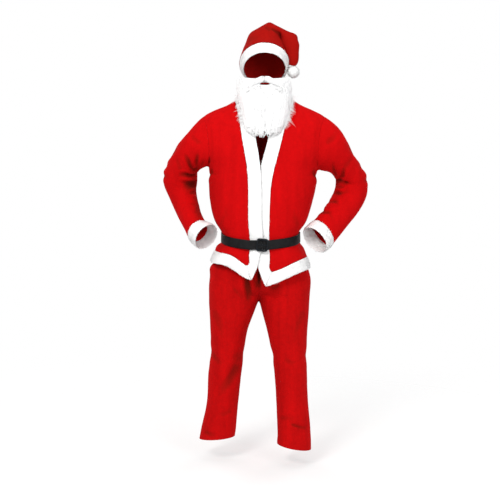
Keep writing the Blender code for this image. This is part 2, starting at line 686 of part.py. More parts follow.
def trouser_cage():
    """Both trouser legs as one surface that splits at the crotch."""
    cage, top = Cage(), {}
    half = LEG_POINTS // 2
    seams = [cage.add([(CROTCH_X, y, z)])[0] for _, _, _, y, z, _, _ in HIP_ROWS]
    backs = [cage.add([(CROTCH_X, y, z)])[0] for _, _, _, _, _, y, z in HIP_ROWS]
    fork = cage.add([(CROTCH_X, LEG_RINGS["right"][-1][4], LEG_RINGS["right"][-1][3])])[0]
    for number, side in enumerate(("right", "left")):
        flip = side == "right"
        table = LEG_RINGS[side]
        path = middles(table)
        rings = []
        for k, row in enumerate(table):
            axis = path[min(k + 1, len(path) - 1)] - path[max(k - 1, 0)]
            points = ring(row, axis, LEG_POINTS)
            rings.append(cage.add(points) if k < len(table) - 1 else [fork] + cage.add(points[1:]))
        cage.grid(rings, "leg_" + side, flip, closed=True)
        hips = [rings[-1] + [fork]]
        for k, row in enumerate(HIP_ROWS):
            outer = (row[number], 0.0, row[2])
            swell = CROTCH_SWELL if k == 0 else 0.0
            front = quarter(cage.points[seams[k]], outer, half, swell=swell)
            back = quarter(cage.points[backs[k]], outer, half, swell=swell)[::-1]
            run = cage.add(np.vstack([front[1:-1], back[:-1]]))
            hips.append([seams[k]] + run + [backs[k]])
        cage.grid(hips, "leg_" + side, flip)
        top[side] = hips[-1]
    cage.smooth()
    return cage, top


def waistband(cage, top):
    """The casing that the elastic runs in, standing on the legs' top edges."""
    run = cage.line(top["right"]) + cage.line(top["left"])[-2:0:-1]
    seam, normals = cage.fine[run], cage.normals[run]
    rise = np.interp(seam[:, 1], [HIP_ROWS[-1][3], 0.0, HIP_ROWS[-1][5]], WAISTBAND_HEIGHTS)
    rings = []
    for here, normal, height in zip(seam, normals, rise):
        out = np.array([normal[0], normal[1], 0.0]) / np.hypot(normal[0], normal[1])
        foot = here + np.array([0.0, 0.0, SEAM_GAP])
        head = here + np.array([0.0, 0.0, height])
        outside, inside = out * WAISTBAND_OUT, out * (WAISTBAND_OUT - WAISTBAND_WALL)
        rings.append([foot, foot + outside, head + outside, head + inside, foot + inside])
    return loft(rings, closed=True)


def hat():
    """The crown, folded over to the wearer's left, and its plush brim."""
    cage = Cage()
    rings = [cage.add(ring(row, None, RING_POINTS, rise=row[6])) for row in HAT_RINGS]
    cage.grid(rings, "crown", True, closed=True)
    a, b, c, d, e, f, g, h = rings[-1]
    for quad in ((a, b, c, d), (a, d, e, h), (h, e, f, g)):
        cage.faces.append(quad[::-1])
        cage.panels.append("crown")
    cage.smooth()
    run = cage.line(rings[0], closed=True)
    end = ring(BRIM_END, None, len(run), rise=BRIM_END[6])
    return cage.wall("crown"), plush(cage.fine[run], end, cage.normals[run], closed=True)


def pompom():
    """A ball of short locks, one on each facet of its core."""
    form = bmesh.new()
    bmesh.ops.create_icosphere(form, subdivisions=2, radius=POMPOM_RADIUS)
    for face in list(form.faces):
        normal, middle = face.normal.copy(), face.calc_center_median()
        bmesh.ops.inset_individual(form, faces=[face], thickness=0.0006)
        tip = bmesh.ops.poke(form, faces=[face])["verts"][0]
        tip.co = middle + normal * POMPOM_LOCK
    for vertex in form.verts:
        for axis in range(3):
            vertex.co[axis] += POMPOM_AT[axis]
    mesh = bpy.data.meshes.new("pompom")
    form.to_mesh(mesh)
    form.free()
    return mesh


def beard_point(row, across):
    """A point on the beard's front, from -1 at one edge to 1 at the other."""
    width, side_y, side_z, y, z, _ = row
    turn = across * math.pi / 2
    return (
        BEARD_X + width * math.sin(turn),
        y + (side_y - y) * (1 - math.cos(turn)),
        z + (side_z - z) * across ** 2,
    )


def beard():
    cage = Cage()
    rows = []
    for k, row in enumerate(BEARD_ROWS):
        points = []
        for i in range(2 * BEARD_SPANS + 1):
            across = i / BEARD_SPANS - 1
            x, y, z = beard_point(row, across)
            if k == len(BEARD_ROWS) - 1:
                z -= BEARD_RAGGED * (i % 2) * (1 - across ** 2)
            points.append((x, y, z))
        rows.append(cage.add(points))
    cage.grid(rows, "beard", True)
    cage.smooth()
    heights = [row[4] for row in BEARD_ROWS][::-1]
    depths = [row[5] for row in BEARD_ROWS][::-1]
    widths = [row[0] for row in BEARD_ROWS][::-1]

    def back(point, _):
        full = np.interp(point[2], heights, depths)
        across = abs(point[0] - BEARD_X) / np.interp(point[2], heights, widths)
        thick = BEARD_EDGE + max(0.0, full - BEARD_EDGE) * max(0.0, 1 - across ** 2)
        way = np.array([BEARD_X - point[0], BEARD_AXIS_Y - point[1], 0.0])
        return point + way * thick / np.linalg.norm(way)

    return cage.wall("beard", back)


def mouth_cutter():
    form = bmesh.new()
    bmesh.ops.create_cone(
        form, cap_ends=True, segments=16, radius1=0.5, radius2=0.5, depth=0.12,
    )
    x, z, width, height = MOUTH
    for vertex in form.verts:
        flat_x, flat_z, depth = vertex.co
        vertex.co = (x + flat_x * width, -0.13 + depth, z + flat_z * height - SHOULDER_HEIGHT)
    bmesh.ops.recalc_face_normals(form, faces=form.faces)
    mesh = bpy.data.meshes.new("mouth_cutter")
    form.to_mesh(mesh)
    form.free()
    made = bpy.data.objects.new("mouth_cutter", mesh)
    cutters.objects.link(made)
    made.hide_render = True
    made.display_type = "WIRE"
    return made


def moustache():
    """Two swept locks that meet under the nose, lying on the beard."""
    heights = [row[4] for row in BEARD_ROWS][::-1]
    rings = []
    for x, z, height, thick in MOUSTACHE:
        width, side_y, _, y, _, _ = (
            np.interp(z, heights, [row[i] for row in BEARD_ROWS][::-1]) for i in range(6)
        )
        front = y + (side_y - y) * (1 - math.cos(math.asin(min(0.99, abs(x) / width))))
        middle = np.array([BEARD_X + x, front - thick / 2 - MOUSTACHE_GAP, z])
        section = []
        for i in range(8):
            angle = 2 * math.pi * i / 8
            section.append(middle + np.array(
                [0.0, math.cos(angle) * thick / 2, math.sin(angle) * height / 2]))
        rings.append(section)
    return loft(rings)


def elastic():
    """The strap that holds the beard, round the back of the head."""
    width, side_y, side_z = BEARD_ROWS[1][:3]
    side_z -= STRAP_WIDTH / 4
    start = side_y + STRAP_THICK
    rings = []
    for i in range(25):
        turn = math.pi * i / 24
        here = np.array([
            BEARD_X - (width - BEARD_EDGE / 2) * math.cos(turn),
            start + (STRAP_BACK[0] - start) * math.sin(turn),
            side_z + (STRAP_BACK[1] - side_z) * math.sin(turn),
        ])
        out = np.array([-math.cos(turn), math.sin(turn), 0.0])
        section = []
        for off, up in ((-1, -1), (1, -1), (1, 1), (-1, 1)):
            section.append(here + out * off * STRAP_THICK / 2
                           + np.array([0.0, 0.0, up * STRAP_WIDTH / 2]))
        rings.append(section)
    return loft(rings)


def main():
    cage, lines = jacket_cage()
    for panel in ("back", "front_right", "front_left", "sleeve_right", "sleeve_left"):
        name = panel if panel.startswith("sleeve") else "jacket_" + panel
        keep(cage.wall(panel), name, RED, 0.9)
    for name, mesh in bands(cage, lines).items():
        keep(mesh, name, WHITE, 0.95)
    keep(belt(cage, lines), "belt_strap", BLACK, 0.5)
    frame, prong = buckle()
    keep(frame, "belt_buckle", SLATE, 0.4)
    keep(prong, "belt_prong", SLATE, 0.4)

    cage, top = trouser_cage()
    for side in ("right", "left"):
        keep(cage.wall("leg_" + side), "trouser_leg_" + side, RED, 0.9)
    keep(waistband(cage, top), "trouser_waistband", RED, 0.9)

    crown, brim = hat()
    keep(crown, "hat_crown", RED, 0.9)
    keep(brim, "hat_brim", WHITE, 0.95)
    keep(pompom(), "hat_pompom", WHITE, 0.95)

    whiskers = keep(beard(), "beard", WHITE, 0.95)
    cut = whiskers.modifiers.new("mouth", "BOOLEAN")
    cut.object = mouth_cutter()
    cut.operation = "DIFFERENCE"
    keep(moustache(), "moustache", WHITE, 0.95)
    keep(elastic(), "beard_elastic", WHITE, 0.7)


clear_scene()
suit = collection("santa_suit")
cutters = collection("cutters")
main()
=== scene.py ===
# A santa suit as worn: red felt jacket, trousers and hat, white plush trim, black belt and a
# curly false beard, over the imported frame. Metres, +Z up, front at -Y, wearer's right at -X.
import json
import math

import bmesh
import bpy
import numpy as np
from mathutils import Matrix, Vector, noise
from mathutils.bvhtree import BVHTree
from mathutils.kdtree import KDTree

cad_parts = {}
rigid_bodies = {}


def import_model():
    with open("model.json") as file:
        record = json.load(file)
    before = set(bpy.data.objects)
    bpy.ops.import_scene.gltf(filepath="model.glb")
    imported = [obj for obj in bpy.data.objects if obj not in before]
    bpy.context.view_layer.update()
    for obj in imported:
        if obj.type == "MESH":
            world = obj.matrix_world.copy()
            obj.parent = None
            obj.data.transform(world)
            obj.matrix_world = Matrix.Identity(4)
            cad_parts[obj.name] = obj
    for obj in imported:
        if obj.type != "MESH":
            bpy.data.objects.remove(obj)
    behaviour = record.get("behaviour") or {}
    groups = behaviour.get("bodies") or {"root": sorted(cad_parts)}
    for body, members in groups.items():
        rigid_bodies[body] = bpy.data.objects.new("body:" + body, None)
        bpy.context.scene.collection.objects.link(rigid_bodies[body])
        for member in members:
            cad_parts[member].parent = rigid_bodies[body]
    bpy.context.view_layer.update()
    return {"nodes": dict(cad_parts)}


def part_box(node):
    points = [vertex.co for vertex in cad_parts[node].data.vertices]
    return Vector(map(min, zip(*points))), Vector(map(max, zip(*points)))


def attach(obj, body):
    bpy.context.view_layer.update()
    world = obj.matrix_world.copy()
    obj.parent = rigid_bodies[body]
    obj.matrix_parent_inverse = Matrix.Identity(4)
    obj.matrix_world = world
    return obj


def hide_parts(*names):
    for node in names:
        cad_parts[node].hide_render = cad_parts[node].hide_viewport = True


for item in list(bpy.data.objects):
    bpy.data.objects.remove(item, do_unlink=True)
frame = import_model()
print("frame:", len(frame["nodes"]), "nodes")

soleDrop = 1.45                 # how far the wearer's soles are under the origin
dice = np.random.default_rng(24)


studio = {
    "cameraAt": (-0.0492, -4.3, 1.25 - soleDrop),
    "cameraDown": 5.06,         # degrees
    "lens": 75.81,
    "floorRadius": 3.6,
    "floorColour": (0.95, 0.95, 0.95),
    "ambient": 0.60,
}
# name, place, aim height, size, power, colour
lamps = [
    ("key", (-1.7, -3.6, 2.0), 0.2, 1.3, 108.0, (1.0, 0.99, 0.97)),
    ("fill", (2.4, -3.9, 0.7), -0.3, 2.0, 64.0, (0.98, 0.99, 1.0)),
    ("top", (0.2, -0.6, 3.4), -0.4, 2.0, 20.0, (1.0, 1.0, 1.0)),
    ("backRight", (-2.6, 3.2, 1.0), -0.3, 2.4, 45.0, (1.0, 1.0, 1.0)),
    ("backLeft", (2.6, 3.4, 0.8), -0.3, 2.4, 45.0, (1.0, 1.0, 1.0)),
]


def link(thing):
    bpy.context.scene.collection.objects.link(thing)
    return thing


def setStudio():
    lens = bpy.data.cameras.new("camera")
    lens.lens = studio["lens"]
    eye = link(bpy.data.objects.new("camera", lens))
    eye.location = studio["cameraAt"]
    eye.rotation_euler = (math.radians(90 - studio["cameraDown"]), 0, 0)
    bpy.context.scene.camera = eye
    for name, place, aim, size, power, colour in lamps:
        light = bpy.data.lights.new(name, "AREA")
        light.size = size
        light.energy = power
        light.color = colour
        lamp = link(bpy.data.objects.new(name, light))
        lamp.location = place
        away = Vector(place) - Vector((0, 0, aim))
        lamp.rotation_euler = away.to_track_quat("Z", "Y").to_euler()
    scene = bpy.context.scene
    scene.view_settings.view_transform = "Standard"
    world = scene.world or bpy.data.worlds.new("studio")
    scene.world = world
    world.use_nodes = True
    tree = world.node_tree
    tree.nodes.clear()
    dim = tree.nodes.new("ShaderNodeBackground")
    dim.inputs["Strength"].default_value = studio["ambient"]
    paper = tree.nodes.new("ShaderNodeBackground")
    ray = tree.nodes.new("ShaderNodeLightPath")
    mix = tree.nodes.new("ShaderNodeMixShader")
    out = tree.nodes.new("ShaderNodeOutputWorld")
    for light in (dim, paper):
        light.inputs["Color"].default_value = (1, 1, 1, 1)
    tree.links.new(ray.outputs["Is Camera Ray"], mix.inputs["Fac"])
    tree.links.new(dim.outputs[0], mix.inputs[1])
    tree.links.new(paper.outputs[0], mix.inputs[2])
    tree.links.new(mix.outputs[0], out.inputs["Surface"])


class Wire:
    # a shader socket that can be added, multiplied and divided
    def __init__(self, finish, socket):
        self.finish, self.socket = finish, socket

    def maths(self, operation, first, second):
        return self.finish.add("ShaderNodeMath", {"operation": operation}, {0: first, 1: second})

    def __add__(self, other):
        return self.maths("ADD", self, other)

    def __mul__(self, other):
        return self.maths("MULTIPLY", self, other)

    def __truediv__(self, other):
        return self.maths("DIVIDE", self, other)


class Finish:
    # one Principled material; fixed values go straight on its sockets
    def __init__(self, name, **fixed):
        self.material = bpy.data.materials.new(name)
        self.material.use_nodes = True
        self.tree = self.material.node_tree
        self.shader = self.tree.nodes["Principled BSDF"]
        for socket, value in fixed.items():
            self.shader.inputs[socket.replace("_", " ")].default_value = value
        self.place = self.add("ShaderNodeTexCoord", {}, {}, "Object")

    def add(self, kind, settings, sockets, output=0):
        node = self.tree.nodes.new(kind)
        for key, value in settings.items():
            if key == "stops":
                ramp = node.color_ramp.elements
                while len(ramp) < len(value):
                    ramp.new(0.5)
                for stop, (position, shade) in zip(ramp, value):
                    stop.position = position
                    stop.color = (shade, shade, shade, 1)
            else:
                setattr(node, key, value)
        for key, value in sockets.items():
            if isinstance(value, Wire):
                self.tree.links.new(value.socket, node.inputs[key])
            else:
                node.inputs[key].default_value = value
        return Wire(self, node.outputs[output])

    def noise(self, scale, detail=2.0, rough=0.5, vector=None):
        return self.add("ShaderNodeTexNoise", {}, {
            "Vector": vector or self.place, "Scale": scale, "Detail": detail, "Roughness": rough})

    def ramp(self, value, *stops):
        return self.add("ShaderNodeValToRGB", {"stops": stops}, {"Fac": value})

    def attribute(self, name):
        return self.add("ShaderNodeAttribute", {"attribute_name": name}, {}, "Fac")

    def mixColour(self, share, first, second):
        return self.add("ShaderNodeMix", {"data_type": "RGBA"}, {0: share, 6: first, 7: second}, 2)

    def bump(self, height, strength, distance, under=None):
        sockets = {"Height": height, "Strength": strength, "Distance": distance}
        if under:
            sockets["Normal"] = under
        return self.add("ShaderNodeBump", {}, sockets)

    def feed(self, socket, value):
        self.tree.links.new(value.socket, self.shader.inputs[socket])


# the darker and the brighter tone of each felt
feltTones = {
    "jacketFelt": ((0.475, 0.0025, 0.0033, 1), (0.645, 0.0032, 0.0042, 1)),
    "trouserFelt": ((0.39, 0.0029, 0.0033, 1), (0.61, 0.0038, 0.0042, 1)),
    "hatFelt": ((0.31, 0.0050, 0.0033, 1), (0.40, 0.0064, 0.0042, 1)),
}
feltLook = {
    "nap": 950.0, "mottle": 70.0, "broad": 6.0, "streak": 38.0,
    "streakLong": 0.09,         # streaks run down the cloth, this much finer across
    "seamWide": 0.004, "seamShade": 0.08, "seamTone": (0.20, 0.0015, 0.002, 1),
    # painted shade in the creases: how strongly it darkens the felt, and its dark colour
    "creaseShade": 0.9, "paintedShadeTone": (0.098, 0.0080, 0.0034, 1),
}


def feltFinish(name):
    # brushed felt: a fine nap, mottling where it is rubbed, and painted shade that darkens it in
    # its creases
    deep, bright = feltTones[name]
    felt = Finish(name, Roughness=0.95, Sheen_Weight=0.015, Sheen_Roughness=0.5,
                  Sheen_Tint=(1.0, 0.2, 0.18, 1), Specular_IOR_Level=0.03)
    nap = felt.noise(feltLook["nap"], 3.0, 0.65)
    mottle = felt.noise(feltLook["mottle"], 4.0, 0.6)
    broad = felt.noise(feltLook["broad"], 2.0)
    brushed = felt.add("ShaderNodeMapping", {}, {"Vector": felt.place,
                                                 "Scale": (1.0, 1.0, feltLook["streakLong"])})
    streak = felt.noise(feltLook["streak"], 3.0, 0.55, brushed)
    body = felt.mixColour(felt.ramp(mottle * 0.35 + streak * 0.45 + broad * 0.2,
                                    (0.34, 0.0), (0.66, 1.0)), deep, bright)
    body = felt.mixColour(felt.ramp(nap, (0.25, 0.0), (0.55, 1.0)),
                          (deep[0] * 0.85, deep[1], deep[2], 1), body)
    seam = felt.ramp(felt.attribute("seam") / feltLook["seamWide"], (0.0, 1.0), (0.8, 0.0))
    # painted shade: the felt is darker where the cloth's folds run deep
    crease = felt.ramp(felt.attribute("crease"), (0.0, 0.0), (0.9, 1.0))
    body = felt.mixColour(seam * feltLook["seamShade"], body, feltLook["seamTone"])
    felt.feed("Base Color", felt.mixColour(crease * feltLook["creaseShade"], body,
                                           feltLook["paintedShadeTone"]))
    coarse = felt.bump(mottle, 0.35, 0.0016)
    felt.feed("Normal", felt.bump(nap, 0.5, 0.0005, coarse))
    return felt.material


def plushFinish():
    plush = Finish("whitePlush", Roughness=0.95, Sheen_Weight=0.25, Sheen_Roughness=0.5,
                   Specular_IOR_Level=0.1)
    clump = plush.noise(160.0, 3.0, 0.6)
    plush.feed("Base Color", plush.mixColour(plush.ramp(clump, (0.3, 0.0), (0.6, 1.0)),
                                             (0.935, 0.935, 0.932, 1), (0.97, 0.97, 0.968, 1)))
    plush.feed("Normal", plush.bump(clump, 0.3, 0.0012))
    return plush.material


def curlFinish():
    curl = Finish("whiteCurls", Roughness=0.8, Sheen_Weight=0.2, Sheen_Roughness=0.4,
                  Specular_IOR_Level=0.2)
    strand = curl.noise(420.0, 3.0, 0.6)
    curl.feed("Base Color", curl.mixColour(curl.ramp(strand, (0.3, 0.0), (0.65, 1.0)),
                                           (0.87, 0.873, 0.88, 1), (0.965, 0.965, 0.965, 1)))
    curl.feed("Normal", curl.bump(strand, 0.25, 0.0008))
    return curl.material


def strapFinish():
    strap = Finish("blackStrap", Specular_IOR_Level=0.16)
    grain = strap.add("ShaderNodeTexVoronoi", {}, {"Vector": strap.place, "Scale": 900.0})
    scuff = strap.noise(45.0, 5.0, 0.65)
    strap.feed("Base Color", strap.mixColour(strap.ramp(scuff, (0.4, 0.0), (0.75, 1.0)),
                                             (0.004, 0.004, 0.0045, 1), (0.012, 0.012, 0.013, 1)))
    strap.feed("Roughness", strap.ramp(scuff, (0.3, 0.50), (0.7, 0.66)))
    strap.feed("Normal", strap.bump(grain, 0.35, 0.0003))
    return strap.material


def plasticFinish():
    plastic = Finish("darkPlastic", Specular_IOR_Level=0.2)
    scuff = plastic.noise(120.0, 4.0, 0.6)
    plastic.feed("Base Color", plastic.mixColour(scuff, (0.003, 0.0048, 0.0072, 1),
                                                 (0.006, 0.0090, 0.0135, 1)))
    plastic.feed("Roughness", plastic.ramp(scuff, (0.3, 0.50), (0.7, 0.62)))
    plastic.feed("Normal", plastic.bump(plastic.noise(700.0, 2.0), 0.1, 0.0002))
    return plastic.material


def elasticFinish():
    elastic = Finish("whiteElastic", Roughness=0.85, Sheen_Weight=0.1)
    rib = elastic.add("ShaderNodeTexWave", {"bands_direction": "Z"}, {
        "Vector": elastic.place, "Scale": 240.0, "Distortion": 0.6, "Detail": 1.0})
    elastic.feed("Base Color", elastic.mixColour(rib, (0.66, 0.66, 0.65, 1),
                                                 (0.86, 0.86, 0.85, 1)))
    elastic.feed("Normal", elastic.bump(rib, 0.5, 0.0004))
    return elastic.material


cloth = {
    "wall": 0.002,
    "weld": 0.0009,             # joins neighbouring panels across their seams
    "seamDip": 0.0003,
    "seamReach": 0.006,
    "foldWide": 0.85, "foldDeep": 1.35,
    "wanderScale": 16, "wander": 0.5,                   # how far a fold's line strays, in widths
    "ridge": 0.32, "ridgeAway": 2.1, "ridgeWide": 0.8,  # the ridge beside a fold, in widths
    "edgeReach": 0.030,         # folds die away this close to an open edge
    # painted shade in the creases: the fold depth where it begins, and the depth over which it
    # darkens
    "paintedShadeFrom": 0.0008, "paintedShadeDark": 0.0062,
    "billow": 0.0018,
    "billowScale": 9.0,
    "ripple": 0.0007,
    "rippleScale": 24.0,
}


def cadForm(name):
    # a CAD solid with its points joined
    form = bmesh.new()
    form.from_mesh(frame["nodes"][name].data)
    bmesh.ops.remove_doubles(form, verts=form.verts, dist=0.00005)
    return form


def inQuads(form, bend, skew):
    bmesh.ops.join_triangles(form, faces=form.faces, angle_face_threshold=math.radians(bend),
                             angle_shape_threshold=math.radians(skew))
    return form


def meshOf(form, name):
    mesh = bpy.data.meshes.new(name)
    form.to_mesh(mesh)
    form.free()
    return mesh


def cadSkin(name):
    # the outer side of a CAD wall, as quads
    form = cadForm(name)
    rim = [f for f in form.faces
           if any(abs(e.calc_length() - cloth["wall"]) < 0.00002 for e in f.edges)]
    bmesh.ops.delete(form, geom=rim, context="FACES")
    parts, seen = [], set()
    for face in form.faces:
        if face in seen:
            continue
        part, queue = [], [face]
        seen.add(face)
        while queue:
            here = queue.pop()
            part.append(here)
            for edge in here.edges:
                for near in edge.link_faces:
                    if near not in seen:
                        seen.add(near)
                        queue.append(near)
        parts.append(part)
    parts.sort(key=lambda part: -sum(f.calc_area() for f in part))
    bmesh.ops.delete(form, geom=[f for part in parts[1:] for f in part], context="FACES")
    return inQuads(form, 60, 70)


def fittedCopy(form, levels, name, reach=0.004):
    # subdivides a coarse form so that the smooth surface runs through its points
    mesh = meshOf(form, name)
    thing = link(bpy.data.objects.new(name, mesh))
    rounder = thing.modifiers.new("round", "SUBSURF")
    rounder.levels = rounder.render_levels = levels
    goal = np.empty(len(mesh.vertices) * 3)
    mesh.vertices.foreach_get("co", goal)
    cage = goal.copy()
    for _ in range(4):
        mesh.vertices.foreach_set("co", cage)
        mesh.update()
        shown = thing.evaluated_get(bpy.context.evaluated_depsgraph_get())
        fine = np.empty(len(shown.data.vertices) * 3)
        shown.data.vertices.foreach_get("co", fine)
        cage += (goal - fine[:len(goal)]) * 0.9
        cage = goal + np.clip(cage - goal, -reach, reach)
    result = bpy.data.meshes.new_from_object(shown)
    bpy.data.objects.remove(thing, do_unlink=True)
    return result


def pointsOf(mesh):
    points = np.empty(len(mesh.vertices) * 3)
    mesh.vertices.foreach_get("co", points)
    return points.reshape(-1, 3)


def normalsOf(mesh):
    normals = np.empty(len(mesh.vertices) * 3)
    mesh.vertices.foreach_get("normal", normals)
    return normals.reshape(-1, 3)


def setPoints(mesh, points):
    mesh.vertices.foreach_set("co", np.ascontiguousarray(points).ravel())
    mesh.update()


def edgeDistances(mesh):
    # how far each point lies from a seam between panels and from an open edge
    panels = {}
    for face in mesh.polygons:
        for key in face.edge_keys:
            panels.setdefault(key, []).append(face.material_index)
    points = pointsOf(mesh)
    found = []
    for wanted in (lambda sides: len(sides) == 1 or sides[0] != sides[1],
                   lambda sides: len(sides) == 1):
        keys = [key for key, sides in panels.items() if wanted(sides)]
        tree = KDTree(len(keys))
        for i, (a, b) in enumerate(keys):
            tree.insert((points[a] + points[b]) / 2, i)
        tree.balance()
        far = np.empty(len(points))
        for i, point in enumerate(points):
            best = 1.0
            for _, number, _ in tree.find_n(point, 4):
                a, b = points[keys[number][0]], points[keys[number][1]]
                run = b - a
                share = min(1.0, max(0.0, (point - a).dot(run) / run.dot(run)))
                best = min(best, float(np.linalg.norm(point - a - run * share)))
            far[i] = best
        found.append(far)
    return found


facings = {
    "front": (np.array([0, -1, 0]), (0, 2)), "back": (np.array([0, 1, 0]), (0, 2)),
    "right": (np.array([-1, 0, 0]), (1, 2)), "left": (np.array([1, 0, 0]), (1, 2)),
}


def foldDepths(points, normals, folds):
    # soft troughs along lines, with a low ridge on each side
    depths = np.zeros(len(points))
    wander = np.array([noise.noise(Vector(p) * cloth["wanderScale"]) for p in points])
    for facing, width, depth, *line in folds:
        towards, axes = facings[facing]
        width, depth = width * cloth["foldWide"], depth * cloth["foldDeep"]
        flat = points[:, axes]
        line = np.array([(u, z - soleDrop) for u, z in line])
        lengths = np.linalg.norm(np.diff(line, axis=0), axis=1)
        best = np.full(len(points), 9.0)
        along = np.zeros(len(points))
        for k, (start, end) in enumerate(zip(line, line[1:])):
            run = end - start
            share = np.clip((flat - start) @ run / run.dot(run), 0, 1)
            away = np.linalg.norm(flat - start - share[:, None] * run, axis=1)
            nearer = away < best
            best[nearer] = away[nearer]
            along[nearer] = (lengths[:k].sum() + share[nearer] * lengths[k]) / lengths.sum()
        best = np.abs(best + wander * width * cloth["wander"])
        swell = np.clip(along / 0.12, 0.35, 1) * (1 - along ** 2.5)
        trough = np.exp(-(best / width) ** 2) - cloth["ridge"] * np.exp(
            -((best / width - cloth["ridgeAway"]) / cloth["ridgeWide"]) ** 2)
        depths -= depth * trough * swell * np.clip(normals @ towards * 1.7, 0, 1)
    return depths


def billows(points, scale, seed):
    return np.array([noise.noise(Vector(p) * scale + Vector((seed, 0, 0))) for p in points])


def smoothStep(value, low, high):
    share = np.clip((value - low) / (high - low), 0, 1)
    return share * share * (3 - 2 * share)


def sewCloth(names, felt, folds, pushes, levels, shape=None):
    # one surface through all the panels, folded together and then cut apart again
    whole = bmesh.new()
    for number, name in enumerate(names):
        form = cadSkin(name)
        for face in form.faces:
            face.material_index = number
        whole.from_mesh(meshOf(form, "part"))
    bmesh.ops.remove_doubles(whole, verts=whole.verts, dist=cloth["weld"])
    bmesh.ops.recalc_face_normals(whole, faces=whole.faces)
    mesh = fittedCopy(whole, levels, "sewn")
    points, normals = pointsOf(mesh), normalsOf(mesh)
    seam, edge = edgeDistances(mesh)
    loose = smoothStep(edge, 0.0, cloth["edgeReach"])
    panels = np.zeros((len(names), len(points)), bool)
    for face in mesh.polygons:
        panels[face.material_index, list(face.vertices)] = True
    move = np.zeros(len(points))
    for part, lines in folds.items():
        mine = panels[[i for i, name in enumerate(names) if part in name]].any(axis=0)
        move[mine] += foldDepths(points[mine], normals[mine], lines)
    # painted shade: the deeper a fold presses in, the darker the cloth's colour
    crease = 1 - np.exp(-np.maximum(-move * loose - cloth["paintedShadeFrom"], 0) / cloth["paintedShadeDark"])
    # more painted shade in the listed hollows between folds, on cloth that faces forward
    for at, reach, depth in hollows:
        away = (points[:, [0, 2]] - np.array(at) + (0, soleDrop)) / np.array(reach)
        facing = np.clip(0.35 - normals[:, 1] * 1.6, 0, 1)
        crease = 1 - (1 - crease) * (1 - depth * facing * np.exp(-(away ** 2).sum(axis=1)))
    move += billows(points, cloth["billowScale"], 3) * cloth["billow"]
    move += billows(points, cloth["rippleScale"], 8) * cloth["ripple"]
    if shape:
        move = shape(points, move)
    move *= loose
    move -= cloth["seamDip"] * np.exp(-(seam / cloth["seamReach"]) ** 2) * loose
    setPoints(mesh, pushed(points, normals, pushes) + normals * move[:, None])
    # the seam distance and the painted crease shade go on the mesh as attributes for the felt
    for mark, values in (("seam", seam), ("crease", crease)):
        mesh.attributes.new(mark, "FLOAT", "POINT").data.foreach_set("value", values)
    made = {}
    for number, name in enumerate(names):
        form = bmesh.new()
        form.from_mesh(mesh)
        others = [f for f in form.faces if f.material_index != number]
        bmesh.ops.delete(form, geom=others, context="FACES")
        for face in form.faces:
            face.material_index = 0
        made[name] = finishPiece(meshOf(form, name + "_cloth"), name + "_cloth", felt,
                                 "red_cloth", name)
        wall = made[name].modifiers.new("wall", "SOLIDIFY")
        wall.thickness = cloth["wall"]
        wall.offset = -1
        wall.use_even_offset = True
    return made


def finishPiece(mesh, name, material, slot, *nodes):
    mesh.materials.clear()
    mesh.materials.append(material)
    mesh.shade_smooth()
    piece = link(bpy.data.objects.new(name, mesh))
    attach(piece, "root")
    if nodes:
        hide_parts(*nodes)
    return piece


